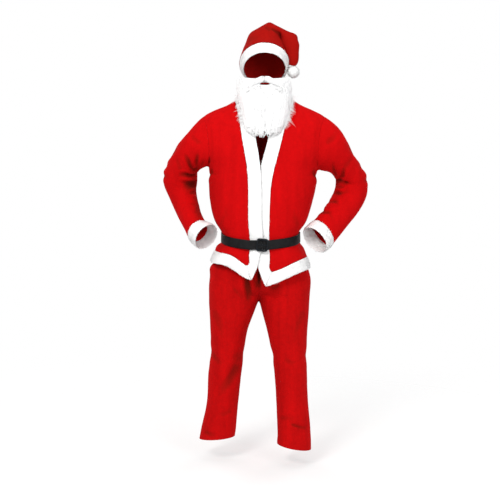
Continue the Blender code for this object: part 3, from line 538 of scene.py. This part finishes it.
# facing, width, depth, then the line's points: x or y across, height above the soles
jacketFolds = {
    "sleeve_right": [
        ("front", 0.009, 0.007, (-0.272, 1.184), (-0.290, 1.212), (-0.312, 1.262)),
        ("front", 0.008, 0.006, (-0.270, 1.190), (-0.265, 1.226), (-0.259, 1.272)),
        ("front", 0.008, 0.004, (-0.268, 1.188), (-0.250, 1.210), (-0.232, 1.240)),
        ("front", 0.018, 0.006, (-0.262, 1.144), (-0.288, 1.134), (-0.326, 1.128)),
        ("front", 0.009, 0.006, (-0.270, 1.172), (-0.304, 1.176), (-0.346, 1.172)),
        ("front", 0.008, 0.005, (-0.256, 1.092), (-0.276, 1.104), (-0.300, 1.104)),
        ("front", 0.009, 0.003, (-0.252, 1.060), (-0.262, 1.040), (-0.270, 1.014)),
        ("front", 0.012, 0.002, (-0.330, 1.190), (-0.346, 1.236), (-0.352, 1.280)),
        ("front", 0.014, 0.002, (-0.246, 1.300), (-0.282, 1.330), (-0.296, 1.366)),
        ("left", 0.008, 0.006, (-0.060, 1.176), (0.020, 1.168), (0.090, 1.186)),
        ("left", 0.009, 0.006, (-0.070, 1.140), (0.000, 1.146), (0.070, 1.136)),
        ("left", 0.007, 0.005, (-0.080, 1.100), (0.000, 1.094), (0.060, 1.104)),
        ("left", 0.008, 0.004, (-0.090, 1.056), (-0.020, 1.062), (0.040, 1.050)),
        ("right", 0.014, 0.003, (0.040, 1.216), (0.080, 1.210), (0.120, 1.220)),
        ("right", 0.012, 0.003, (0.040, 1.166), (0.080, 1.172), (0.120, 1.162)),
        ("right", 0.016, 0.003, (-0.010, 1.290), (0.050, 1.250), (0.090, 1.230)),
        ("back", 0.014, 0.007, (-0.262, 1.150), (-0.312, 1.160), (-0.362, 1.196)),
        ("back", 0.010, 0.006, (-0.266, 1.120), (-0.316, 1.108), (-0.366, 1.110)),
        ("back", 0.010, 0.005, (-0.262, 1.200), (-0.292, 1.240), (-0.322, 1.292)),
        ("back", 0.009, 0.004, (-0.262, 1.070), (-0.302, 1.040), (-0.332, 1.030)),
    ],
    "sleeve_left": [
        ("front", 0.008, 0.006, (0.310, 1.142), (0.297, 1.176), (0.282, 1.226)),
        ("front", 0.008, 0.006, (0.314, 1.144), (0.327, 1.172), (0.334, 1.208)),
        ("front", 0.008, 0.0042, (0.304, 1.130), (0.328, 1.128), (0.356, 1.124)),
        ("front", 0.008, 0.0032, (0.298, 1.106), (0.316, 1.098), (0.340, 1.086)),
        ("front", 0.009, 0.0025, (0.286, 1.078), (0.302, 1.066), (0.322, 1.048)),
        ("front", 0.012, 0.002, (0.330, 1.200), (0.362, 1.238), (0.376, 1.276)),
        ("front", 0.009, 0.0018, (0.260, 1.034), (0.280, 1.012), (0.302, 0.986)),
        ("front", 0.014, 0.002, (0.252, 1.300), (0.290, 1.330), (0.306, 1.366)),
        ("right", 0.008, 0.008, (-0.060, 1.138), (0.020, 1.142), (0.090, 1.152)),
        ("right", 0.007, 0.007, (-0.060, 1.104), (0.010, 1.108), (0.080, 1.100)),
        ("right", 0.008, 0.006, (-0.070, 1.064), (0.000, 1.072), (0.070, 1.062)),
        ("right", 0.007, 0.006, (-0.080, 1.030), (-0.010, 1.026), (0.060, 1.034)),
        ("left", 0.014, 0.003, (0.040, 1.210), (0.080, 1.204), (0.120, 1.216)),
        ("left", 0.012, 0.003, (0.040, 1.150), (0.080, 1.156), (0.120, 1.148)),
        ("left", 0.016, 0.003, (-0.010, 1.290), (0.050, 1.250), (0.090, 1.230)),
        ("back", 0.014, 0.007, (0.302, 1.150), (0.352, 1.160), (0.402, 1.196)),
        ("back", 0.010, 0.006, (0.306, 1.126), (0.356, 1.106), (0.402, 1.100)),
        ("back", 0.010, 0.005, (0.282, 1.190), (0.312, 1.240), (0.342, 1.292)),
        ("back", 0.009, 0.004, (0.282, 1.076), (0.322, 1.040), (0.352, 1.020)),
    ],
    "jacket": [
        ("front", 0.010, 0.003, (-0.222, 1.200), (-0.200, 1.184), (-0.174, 1.180)),
        ("front", 0.009, 0.004, (-0.226, 1.206), (-0.216, 1.230), (-0.210, 1.256)),
        ("front", 0.012, 0.0015, (0.222, 1.194), (0.196, 1.176), (0.170, 1.172)),
        ("front", 0.010, 0.0015, (0.226, 1.200), (0.218, 1.226), (0.212, 1.256)),
        ("front", 0.016, 0.0015, (-0.176, 0.966), (-0.150, 1.020), (-0.140, 1.080)),
        ("front", 0.015, 0.0015, (0.150, 0.966), (0.130, 1.010), (0.124, 1.070)),
        ("right", 0.012, 0.005, (-0.060, 1.196), (-0.010, 1.170), (0.040, 1.190)),
        ("left", 0.012, 0.005, (-0.060, 1.190), (-0.010, 1.166), (0.040, 1.186)),
        ("back", 0.016, 0.007, (-0.150, 1.010), (-0.040, 0.990), (0.070, 1.006)),
        ("back", 0.014, 0.006, (0.150, 1.030), (0.060, 1.036), (-0.050, 1.058)),
        ("back", 0.012, 0.005, (-0.206, 1.190), (-0.150, 1.150), (-0.080, 1.140)),
        ("back", 0.012, 0.005, (0.210, 1.180), (0.150, 1.140), (0.090, 1.130)),
        ("back", 0.012, 0.004, (-0.204, 1.210), (-0.180, 1.280), (-0.166, 1.340)),
        ("back", 0.012, 0.004, (0.210, 1.206), (0.186, 1.270), (0.174, 1.330)),
        ("back", 0.016, 0.003, (-0.060, 1.400), (0.004, 1.376), (0.070, 1.400)),
    ],
}
trouserFolds = {
    "leg": [
        ("front", 0.010, 0.009, (-0.066, 0.772), (-0.058, 0.722), (-0.046, 0.658)),
        ("front", 0.006, 0.004, (-0.034, 0.776), (-0.028, 0.736), (-0.026, 0.680)),
        ("front", 0.008, 0.008, (-0.012, 0.800), (-0.014, 0.740), (-0.012, 0.700)),
        ("front", 0.008, 0.004, (0.070, 0.742), (0.050, 0.728), (0.026, 0.716)),
        ("front", 0.010, 0.002, (-0.120, 0.730), (-0.086, 0.690), (-0.050, 0.664)),
        ("front", 0.022, 0.004, (-0.092, 0.412), (-0.130, 0.344), (-0.182, 0.270)),
        ("front", 0.014, 0.002, (-0.210, 0.440), (-0.180, 0.416), (-0.140, 0.404)),
        ("front", 0.014, 0.002, (0.086, 0.440), (0.120, 0.426), (0.160, 0.432)),
        ("front", 0.006, 0.005, (0.112, 0.182), (0.150, 0.168), (0.190, 0.158)),
        ("front", 0.011, 0.002, (0.066, 0.196), (0.100, 0.204), (0.150, 0.200)),
        ("front", 0.012, 0.003, (-0.240, 0.126), (-0.216, 0.116), (-0.180, 0.112)),
        ("front", 0.014, 0.002, (-0.120, 0.216), (-0.160, 0.200), (-0.196, 0.206)),
        ("front", 0.020, 0.002, (0.174, 0.640), (0.140, 0.560), (0.120, 0.480)),
        ("front", 0.020, 0.002, (-0.200, 0.640), (-0.170, 0.560), (-0.150, 0.490)),
        ("left", 0.022, 0.002, (-0.090, 0.446), (-0.020, 0.440), (0.040, 0.452)),
        ("right", 0.020, 0.002, (-0.070, 0.442), (0.000, 0.450), (0.060, 0.444)),
        ("back", 0.012, 0.008, (-0.016, 0.700), (-0.070, 0.660), (-0.140, 0.660)),
        ("back", 0.012, 0.008, (-0.010, 0.700), (0.040, 0.660), (0.110, 0.662)),
        ("back", 0.010, 0.005, (-0.014, 0.720), (-0.060, 0.700), (-0.120, 0.706)),
        ("back", 0.010, 0.005, (-0.010, 0.720), (0.036, 0.700), (0.096, 0.706)),
        ("back", 0.012, 0.006, (-0.090, 0.450), (-0.140, 0.430), (-0.206, 0.436)),
        ("back", 0.010, 0.004, (-0.204, 0.400), (-0.160, 0.390), (-0.110, 0.406)),
        ("back", 0.012, 0.006, (0.050, 0.450), (0.100, 0.430), (0.166, 0.436)),
        ("back", 0.010, 0.004, (0.170, 0.400), (0.130, 0.390), (0.080, 0.406)),
        ("back", 0.010, 0.004, (-0.130, 0.160), (-0.180, 0.146), (-0.236, 0.150)),
        ("back", 0.010, 0.004, (0.180, 0.150), (0.130, 0.136), (0.080, 0.146)),
    ],
}
hatFolds = {
    "hat_crown": [
        ("front", 0.009, 0.007, (0.034, 1.764), (0.066, 1.742), (0.090, 1.716)),
        ("front", 0.010, 0.004, (0.010, 1.772), (0.030, 1.752), (0.040, 1.728)),
        ("front", 0.012, 0.003, (-0.080, 1.690), (-0.050, 1.716), (-0.010, 1.732)),
        ("back", 0.014, 0.005, (-0.060, 1.700), (0.000, 1.680), (0.060, 1.700)),
        ("back", 0.010, 0.005, (0.060, 1.750), (0.096, 1.730), (0.110, 1.700)),
        ("left", 0.010, 0.003, (-0.010, 1.730), (0.006, 1.700), (0.000, 1.660)),
    ],
}
# hollows that lie in the shade between folds: x and height, reach each way, depth of shade
hollows = [
    ((-0.284, 1.132), (0.034, 0.026), 0.66), ((-0.266, 1.098), (0.014, 0.030), 0.45),
    ((-0.254, 1.040), (0.015, 0.042), 0.65), ((-0.276, 1.184), (0.020, 0.022), 0.30),
    ((0.310, 1.138), (0.016, 0.020), 0.35), ((0.300, 1.104), (0.012, 0.026), 0.25),
    ((-0.058, 0.716), (0.014, 0.050), 0.35), ((-0.014, 0.760), (0.014, 0.040), 0.45),
    ((0.040, 0.726), (0.030, 0.016), 0.25),
]
waist = {
    "z": 0.914, "tilt": 0.012,  # the belt lies higher in front
    "centre": (-0.004, -0.028), "radius": 0.17,
    "belt": 0.020, "edge": 0.012, "flatten": 0.3, "pressed": 0.0006,
    "reach": 0.060, "depth": 0.0035, "pitch": 26.0,
    "half": 0.235, "fade": 0.03,
}


def gatherWaist(points, move):
    # the belt draws the jacket in: short upright gathers over and under it
    height = points[:, 2] + soleDrop - waist["z"]
    x, y = points[:, 0] - waist["centre"][0], points[:, 1] - waist["centre"][1]
    turn = np.arctan2(x, -y) * waist["radius"]
    height -= waist["tilt"] * np.cos(turn / waist["radius"])
    trunk = smoothStep(waist["half"] - np.abs(points[:, 0]), 0.0, waist["fade"])
    body = np.exp(-((np.abs(height) - waist["belt"]) / waist["reach"]) ** 2) * trunk
    pleat = np.array([noise.noise(Vector((t * waist["pitch"], h * 4, 2)))
                      for t, h in zip(turn, height)])
    under = smoothStep(waist["belt"] + waist["edge"] - np.abs(height), 0, waist["edge"]) * trunk
    move = move + waist["depth"] * pleat * body * (1 - under)
    kept = under * np.minimum(move, 0) * waist["flatten"]
    return move * (1 - under) + kept - under * waist["pressed"]


# place, reach each way, push, and how much only cloth that faces the way of the push moves
hemPushes = [
    ((-0.128, -0.15, 0.822), (0.050, 0.12, 0.052), (0.0, 0.0, 0.019), 0),
]
jacketPushes = hemPushes + [
    ((-0.292, 0.0, 1.372), (0.055, 0.15, 0.065), (0.007, 0.0, -0.009), 0),
]
trouserPushes = [
    ((-0.013, 0.0, 0.690), (0.048, 0.20, 0.044), (0.0, 0.0, 0.018), 0),
    ((-0.185, 0.0, 0.800), (0.060, 0.12, 0.028), (-0.018, 0.0, 0.0), 1),
    ((0.172, 0.0, 0.800), (0.060, 0.12, 0.026), (0.005, 0.0, 0.0), 1),
]
hatPushes = [
    ((0.088, 0.004, 1.716), (0.016, 0.05, 0.034), (-0.010, 0.0, 0.0), 1),
    ((0.074, 0.030, 1.716), (0.014, 0.05, 0.034), (0.008, 0.0, 0.0), 1),
    ((0.112, 0.000, 1.640), (0.024, 0.05, 0.034), (-0.015, 0.0, 0.0), 1),
    ((0.144, 0.000, 1.640), (0.016, 0.04, 0.024), (0.003, 0.0, 0.0), 1),
    ((0.140, 0.004, 1.738), (0.024, 0.05, 0.026), (0.005, 0.0, 0.005), 1),
    ((0.030, 0.028, 1.786), (0.018, 0.05, 0.020), (0.0, 0.0, 0.006), 1),
    ((-0.050, 0.035, 1.745), (0.032, 0.09, 0.030), (-0.006, 0.0, 0.006), 1),
]


def pushed(points, normals, pushes):
    for at, reach, push, faced in pushes:
        away = (points - np.array(at) + (0, 0, soleDrop)) / np.array(reach)
        share = np.exp(-(away ** 2).sum(axis=1))
        if faced:
            share *= np.clip(normals @ np.array(push) / np.linalg.norm(push) * 1.6, 0, 1)
        points += np.array(push) * share[:, None]
    return points


def plainCopy(name, levels):
    # a rounded copy of a closed CAD solid
    return fittedCopy(inQuads(cadForm(name), 60, 70), levels, name + "_soft", 0.0015)


def scatter(mesh, spacing):
    # random places all over a mesh, with their normals
    mesh.calc_loop_triangles()
    points, normals = pointsOf(mesh), normalsOf(mesh)
    corners = np.array([t.vertices for t in mesh.loop_triangles])
    a, b, c = (points[corners[:, i]] for i in range(3))
    areas = np.linalg.norm(np.cross(b - a, c - a), axis=1) / 2
    count = int(areas.sum() / spacing ** 2)
    chosen = dice.choice(len(corners), count, p=areas / areas.sum())
    u, v = dice.random(count), dice.random(count)
    turned = u + v > 1
    u[turned], v[turned] = 1 - u[turned], 1 - v[turned]
    shares = np.stack([1 - u - v, u, v], axis=1)
    places = sum(points[corners[chosen, i]] * shares[:, i, None] for i in range(3))
    ways = sum(normals[corners[chosen, i]] * shares[:, i, None] for i in range(3))
    return places, ways / np.linalg.norm(ways, axis=1)[:, None]


tuftSink = 0.0006               # the tufts' feet are under the surface
pileSoft = 0.75                 # how far the pile is shaded as the surface under it


def tuftMesh(name, mesh, spacing, length, width, lean):
    # short pointed tufts of pile all over a mesh, as one joined mesh with it
    places, ways = scatter(mesh, spacing)
    count = len(places)
    tilt = dice.normal(size=(count, 3))
    tilt -= ways * (tilt * ways).sum(axis=1)[:, None]
    heading = ways + tilt * lean
    heading /= np.linalg.norm(heading, axis=1)[:, None]
    side = np.cross(ways, dice.normal(size=(count, 3)))
    side /= np.linalg.norm(side, axis=1)[:, None]
    other = np.cross(ways, side)
    root = places - ways * tuftSink
    tall = length * (0.6 + 0.7 * dice.random(count))[:, None]
    wide = width / 2 * (0.7 + 0.6 * dice.random(count))[:, None]
    corners = [root + wide * (side * math.cos(t) + other * math.sin(t))
               for t in (0, 2 * math.pi / 3, 4 * math.pi / 3)]
    corners.append(root + heading * tall)
    verts = np.stack(corners, axis=1).reshape(-1, 3)
    first = np.arange(count)[:, None, None] * 4
    faces = np.array([(0, 1, 3), (1, 2, 3), (2, 0, 3), (2, 1, 0)])[None] + first
    tufts = bpy.data.meshes.new(name)
    tufts.from_pydata(verts.tolist(), [], faces.reshape(-1, 3).tolist())
    form = bmesh.new()
    form.from_mesh(mesh)
    form.from_mesh(tufts)
    form.to_mesh(tufts)
    form.free()
    # light passes through the fibres, so their own sides are hardly seen in the shading
    tufts.shade_smooth()
    under = np.concatenate([normalsOf(mesh), np.repeat(ways, 4, axis=0)])
    mixed = under * pileSoft + normalsOf(tufts) * (1 - pileSoft)
    mixed /= np.linalg.norm(mixed, axis=1)[:, None]
    tufts.normals_split_custom_set_from_vertices(mixed.tolist())
    return tufts


plushTrim = {
    "levels": 2, "lump": 0.0013, "lumpScale": 70.0,
    "spacing": 0.0034, "length": 0.0042, "width": 0.0030, "lean": 0.55, "sink": 0.0015,
    "jointSwell": 0.0004,       # trims fill out where they are sewn together
    "joint": 0.0025, "joined": {
        "band_front_right": ("band_neck", "band_hem"), "band_front_left": ("band_neck", "band_hem"),
        "band_neck": ("band_front_right", "band_front_left"),
        "band_hem": ("band_front_right", "band_front_left")},
}


def plushPiece(name):
    # the pile's tips reach the CAD surface and a little past it
    mesh = plainCopy(name, plushTrim["levels"])
    points, normals = pointsOf(mesh), normalsOf(mesh)
    lump = billows(points, plushTrim["lumpScale"], 1) * plushTrim["lump"] - plushTrim["sink"]
    joints = [BVHTree.FromPolygons(*polygonsOf(frame["nodes"][other].data))
              for other in plushTrim["joined"].get(name, ())]
    for i, point in enumerate(points):
        if any(joint.find_nearest(point, plushTrim["joint"])[0] for joint in joints):
            lump[i] = plushTrim["jointSwell"]
    setPoints(mesh, pushed(points, normals, hemPushes) + normals * lump[:, None])
    furry = tuftMesh(name + "_plush", mesh, plushTrim["spacing"], plushTrim["length"],
                     plushTrim["width"], plushTrim["lean"])
    return finishPiece(furry, name + "_plush", plush, "white_plush", name)


def lockMesh(name, paths, sides=4):
    # tapered locks along paths: a path is a list of (point, radius)
    verts, faces = [], []
    for path in paths:
        centres = np.array([p for p, _ in path])
        radii = [r for _, r in path]
        runs = np.gradient(centres, axis=0)
        first = len(verts)
        across = np.cross(runs[0], (0.3, 1.0, 0.2))
        for centre, run, radius in zip(centres, runs, radii):
            run = run / np.linalg.norm(run)
            across = across - run * across.dot(run)
            across /= np.linalg.norm(across)
            up = np.cross(run, across)
            for k in range(sides):
                t = 2 * math.pi * k / sides
                verts.append(centre + radius * (across * math.cos(t) + up * math.sin(t)))
        last = len(path) - 1
        for i in range(last):
            for k in range(sides):
                a, b = first + i * sides + k, first + i * sides + (k + 1) % sides
                faces.append((a, b, b + sides, a + sides))
        faces.append(tuple(first + k for k in reversed(range(sides))))
        faces.append(tuple(first + last * sides + k for k in range(sides)))
    mesh = bpy.data.meshes.new(name)
    mesh.from_pydata([tuple(v) for v in verts], [], faces)
    return mesh


beardLook = {
    "locks": 1500, "radius": 0.0026, "length": (0.040, 0.085), "step": 0.0055,
    "wave": 0.0028, "waveLength": (0.020, 0.034), "sink": (0.001, 0.008),
    "mouth": (0.008, 1.536, 0.022, 0.0065), "backing": 0.006, "middle": 0.007,
    "ragged": (-0.016, 0.014), "starts": (0, 6.4), "rowPitch": 0.030, "drift": 0.10,
}
# rows down the beard: reach to the right and the left, the sides' y, z, the middle's y, z
beardRows = np.array([
    (0.104, 0.100, -0.009, 1.574, -0.121, 1.556), (0.110, 0.110, -0.009, 1.545, -0.123, 1.546),
    (0.110, 0.112, -0.019, 1.520, -0.129, 1.520), (0.104, 0.109, -0.037, 1.490, -0.137, 1.488),
    (0.096, 0.104, -0.057, 1.458, -0.144, 1.452), (0.089, 0.096, -0.077, 1.428, -0.147, 1.414),
    (0.084, 0.086, -0.094, 1.400, -0.147, 1.374), (0.077, 0.072, -0.107, 1.374, -0.145, 1.337),
])
lastRow = len(beardRows) - 1
# loose tips along the beard's sides
tipLook = {"count": 170, "rows": (2.6, 6.7), "length": (0.013, 0.029), "radius": 0.0020,
           "across": (0.88, 1.0), "fall": (0.25, 1.3)}


def beardPoint(row, across):
    # a place on the beard's front and the way out of it; the last row is its lower edge
    inside = min(max(row, 0.0), lastRow)
    right, left, sideY, sideZ, midY, midZ = (
        np.interp(inside, range(len(beardRows)), column) for column in beardRows.T)
    turn = across * math.pi / 2
    level = midZ + (sideZ - midZ) * across ** 2 - (row - inside) * beardLook["rowPitch"]
    place = Vector((beardLook["middle"] + (left if across > 0 else right) * math.sin(turn),
                    midY + (sideY - midY) * (1 - math.cos(turn)), level - soleDrop))
    return place, Vector((math.sin(turn), -math.cos(turn), 0))


def beardPaths():
    mouthX, mouthZ, mouthWide, mouthHigh = beardLook["mouth"]
    pitchDown = beardLook["rowPitch"]
    paths = []
    for i in range(beardLook["locks"]):
        across, start = dice.uniform(-1, 1), dice.uniform(*beardLook["starts"])
        length = dice.uniform(*beardLook["length"])
        end = min(start + length / pitchDown,
                  lastRow + dice.uniform(*beardLook["ragged"]) / pitchDown)
        steps = int((end - start) * pitchDown / beardLook["step"])
        sink = dice.uniform(*beardLook["sink"])
        pitch, phase = dice.uniform(*beardLook["waveLength"]), dice.uniform(0, 2 * math.pi)
        drift = dice.normal() * beardLook["drift"]
        path = []
        for k in range(steps + 1):
            share = k / max(steps, 1)
            here = min(max(across + drift * share, -1), 1)
            place, out = beardPoint(start + (end - start) * share, here)
            if ((place.x - mouthX) / mouthWide) ** 2 + (
                    (place.z + soleDrop - mouthZ) / mouthHigh) ** 2 < 1:
                break
            side = Vector((-out.y, out.x, 0))
            swing = phase + 2 * math.pi * k * beardLook["step"] / pitch
            wave = beardLook["wave"] * (0.4 + 0.8 * share)
            point = place - out * sink * (1 - 0.8 * share)
            point += side * wave * math.sin(swing) + out * wave * 0.6 * math.cos(swing)
            radius = beardLook["radius"] * (1.15 - 0.85 * share ** 1.5)
            path.append((np.array(point), radius * dice.uniform(0.85, 1.15)))
        if len(path) > 3:
            paths.append(path)
    for side in (-1, 1):
        for i in range(tipLook["count"]):
            place, out = beardPoint(dice.uniform(*tipLook["rows"]),
                                    side * dice.uniform(*tipLook["across"]))
            run = Vector((side * 0.8, -0.2, -dice.uniform(*tipLook["fall"]))).normalized()
            length, bend = dice.uniform(*tipLook["length"]), Vector(dice.normal(size=3) * 0.25)
            paths.append([(np.array(place - out * 0.004 + (run + bend * k / 5) * length * k / 5),
                           tipLook["radius"] * (1.1 - k / 5)) for k in range(6)])
    return paths


def drawnIn(points):
    # the backing lies under the locks and stops short of their tips
    height = points[:, 2] + soleDrop
    x = points[:, 0] - beardLook["middle"]
    rows = beardRows[::-1]
    limit = np.where(x < 0, np.interp(height, rows[:, 3], rows[:, 0]),
                     np.interp(height, rows[:, 3], rows[:, 1])) - beardLook["backing"]
    share = np.abs(x) / limit
    eased = np.where(share > 0.8, 0.8 + 0.2 * np.tanh((share - 0.8) / 0.2), share)
    result = points.copy()
    result[:, 0] = beardLook["middle"] + np.sign(x) * eased * limit
    result[:, 2] += 0.016 * smoothStep(1.42 - height, 0.0, 0.07)
    return result


def polygonsOf(mesh):
    return [v.co.copy() for v in mesh.vertices], [tuple(p.vertices) for p in mesh.polygons]


# the moustache's middle line: x from its middle, height, half height, half thickness
moustacheLine = [(0.000, 1.554, 0.009, 0.006), (0.016, 1.552, 0.011, 0.007),
                 (0.034, 1.544, 0.010, 0.007), (0.050, 1.532, 0.007, 0.005),
                 (0.066, 1.521, 0.003, 0.002)]
moustacheLook = {"locks": 170, "radius": 0.0017, "wave": 0.0016, "middle": 0.007, "steps": 11,
                 "falling": 150}


def moustachePaths():
    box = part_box("moustache")
    line = np.array(moustacheLine)
    body = BVHTree.FromPolygons(*polygonsOf(frame["nodes"]["moustache"].data))
    beard = BVHTree.FromPolygons(*polygonsOf(frame["nodes"]["beard"].data))
    paths = []
    for side in (-1, 1):
        for i in range(moustacheLook["locks"]):
            angle, reach = dice.uniform(0, 2 * math.pi), math.sqrt(dice.random())
            begin, end = dice.uniform(0, 0.45), dice.uniform(0.6, 1.0)
            phase, pitch = dice.uniform(0, 6.28), dice.uniform(0.018, 0.030)
            path = []
            for k in range(moustacheLook["steps"] + 1):
                share = begin + (end - begin) * k / moustacheLook["steps"]
                x, z, high, thick = (np.interp(share, np.linspace(0, 1, len(line)), line[:, c])
                                     for c in range(4))
                here = Vector((moustacheLook["middle"] + side * x, -0.3, z - soleDrop))
                hit = body.ray_cast(here, Vector((0, 1, 0)))[0]
                front = hit.y if hit else box[0][1] + 0.010
                swing = phase + 6.28 * x / pitch
                wave = moustacheLook["wave"]
                path.append((np.array([
                    here.x + wave * math.sin(swing),
                    front + thick * (1 - reach * math.cos(angle)) + wave * math.cos(swing) + 0.001,
                    here.z + high * reach * math.sin(angle) + wave * math.sin(swing + 1)]),
                    moustacheLook["radius"] * (1.1 - 0.8 * (k / moustacheLook["steps"]) ** 1.5)))
            paths.append(path)
        for i in range(moustacheLook["falling"]):
            share = dice.uniform(0.10, 1.0)
            x, z, high, thick = (np.interp(share, np.linspace(0, 1, len(line)), line[:, c])
                                 for c in range(4))
            sway, drop = dice.uniform(-0.2, 0.5), dice.uniform(0.010, 0.020)
            path = []
            for k in range(6):
                here = Vector((moustacheLook["middle"] + side * (x + sway * drop * k / 5), -0.3,
                               z - high * 0.5 - drop * k / 5 - soleDrop))
                hit = beard.ray_cast(here, Vector((0, 1, 0)))[0]
                if hit is None or abs(here.x - moustacheLook["middle"]) < 0.022:
                    break
                path.append((np.array([here.x, hit.y - 0.0035 * (1 - k / 5), here.z]),
                             moustacheLook["radius"] * (1.15 - k / 6)))
            if len(path) > 3:
                paths.append(path)
    return paths


setStudio()
jacketFelt, trouserFelt, hatFelt = (feltFinish(name) for name in feltTones)
plush, curls = plushFinish(), curlFinish()
strap, plastic, elastic = strapFinish(), plasticFinish(), elasticFinish()

jacket = sewCloth(["jacket_back", "jacket_front_right", "jacket_front_left", "sleeve_right",
                   "sleeve_left"], jacketFelt, jacketFolds, jacketPushes, 3, gatherWaist)
print("jacket sewn")
trousers = sewCloth(["trouser_leg_right", "trouser_leg_left"], trouserFelt, trouserFolds,
                    trouserPushes, 3)
print("trousers sewn")
hat = sewCloth(["hat_crown"], hatFelt, hatFolds, hatPushes, 2)
print("hat sewn")
trims = {name: plushPiece(name) for name in (
    "band_front_right", "band_front_left", "band_neck", "band_hem", "cuff_right", "cuff_left",
    "hat_brim")}
print("plush trims made")

pompomLook = {"core": 0.86, "spacing": 0.0026, "length": 0.0054, "width": 0.0030, "lean": 0.4,
              "aside": -0.004}


def makePompom():
    low, high = (Vector(corner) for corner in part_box("hat_pompom"))
    middle, radius = (low + high) / 2, (high.x - low.x) / 2
    form = bmesh.new()
    bmesh.ops.create_icosphere(form, subdivisions=3, radius=radius * pompomLook["core"])
    bmesh.ops.translate(form, verts=form.verts, vec=middle + Vector((pompomLook["aside"], 0, 0)))
    furry = tuftMesh("hat_pompom_plush", meshOf(form, "pompomCore"), pompomLook["spacing"],
                     pompomLook["length"], pompomLook["width"], pompomLook["lean"])
    finishPiece(furry, "hat_pompom_plush", plush, "white_plush", "hat_pompom")


makePompom()

backing = plainCopy("beard", 1)
points, normals = pointsOf(backing), normalsOf(backing)
outward = points - (beardLook["middle"], 0.015, 0.0)
outward[:, 2] = 0
outside = (normals * outward).sum(axis=1) / np.linalg.norm(outward, axis=1)
points -= normals * (beardLook["backing"] * np.clip(outside, 0, 1))[:, None]
setPoints(backing, drawnIn(points))
finishPiece(backing, "beard_backing", curls, "white_fur", "beard")
finishPiece(lockMesh("beard_locks", beardPaths()), "beard_locks", curls, "white_fur")
finishPiece(lockMesh("moustache_locks", moustachePaths()), "moustache_locks", curls, "white_fur",
            "moustache")
print("beard and moustache made")


# the strap's two ends under the buckle: their middle, how far they start and stay apart
strapEnds = {"x": -0.001, "reach": 0.0045, "apart": 0.0002}
# the frame's inner rim comes close to the strap's edges
buckleLook = {"tilt": math.radians(6.0), "inside": (0.0190, 0.0222), "closer": 0.87}


def hardCopy(name, material, slot, bevel, segments, levels=0):
    # a hard CAD solid with its sharp edges bevelled
    form = inQuads(cadForm(name), 25, 80)
    sharp = [e for e in form.edges
             if len(e.link_faces) == 2 and e.calc_face_angle() > math.radians(35)]
    bmesh.ops.bevel(form, geom=sharp, offset=bevel, affect="EDGES", segments=segments,
                    profile=0.5, material=-1, clamp_overlap=True)
    mesh = fittedCopy(form, levels, name) if levels else meshOf(form, name)
    return finishPiece(mesh, name + "_fine", material, slot, name)


beltStrap = hardCopy("belt_strap", strap, "black_strap", 0.0006, 2, 1)
points = pointsOf(beltStrap.data)
ends = (np.abs(points[:, 0] - strapEnds["x"]) < strapEnds["reach"]) & (points[:, 1] < -0.10)
points[ends, 0] = strapEnds["x"] + np.sign(points[ends, 0] - strapEnds["x"]) * strapEnds["apart"]
setPoints(beltStrap.data, points)
buckleFrame = hardCopy("belt_buckle", plastic, "dark_plastic", 0.0007, 2)
points = pointsOf(buckleFrame.data)
upward = np.array([math.sin(buckleLook["tilt"]), 0, math.cos(buckleLook["tilt"])])
aside = np.array([upward[2], 0, -upward[0]])
away = points - np.mean(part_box("belt_buckle"), axis=0)
inside = (np.abs(away @ aside) < buckleLook["inside"][0]) & (
    np.abs(away @ upward) < buckleLook["inside"][1])
points[inside] += np.outer(away[inside] @ upward, upward) * (buckleLook["closer"] - 1)
setPoints(buckleFrame.data, points)
hardCopy("belt_prong", plastic, "dark_plastic", 0.0004, 2)
hardCopy("beard_elastic", elastic, "white_elastic", 0.0003, 1, 1)
finishPiece(plainCopy("trouser_waistband", 2), "trouser_waistband_cloth", trouserFelt,
            "red_cloth", "trouser_waistband")
print("belt, buckle, elastic and waistband made")


def makeFloor():
    form = bmesh.new()
    bmesh.ops.create_circle(form, cap_ends=True, segments=96, radius=studio["floorRadius"])
    bmesh.ops.translate(form, verts=form.verts, vec=(0, 0, -soleDrop))
    mesh = meshOf(form, "floor")
    paper = Finish("floorPaper", Roughness=0.9, Specular_IOR_Level=0.1,
                   Base_Color=(*studio["floorColour"], 1))
    away = paper.add("ShaderNodeVectorMath", {"operation": "LENGTH"}, {0: paper.place}, "Value")
    paper.feed("Alpha", paper.ramp(away / studio["floorRadius"], (0.18, 1.0), (0.75, 0.0)))
    mesh.materials.append(paper.material)
    floor = link(bpy.data.objects.new("floor", mesh))


makeFloor()
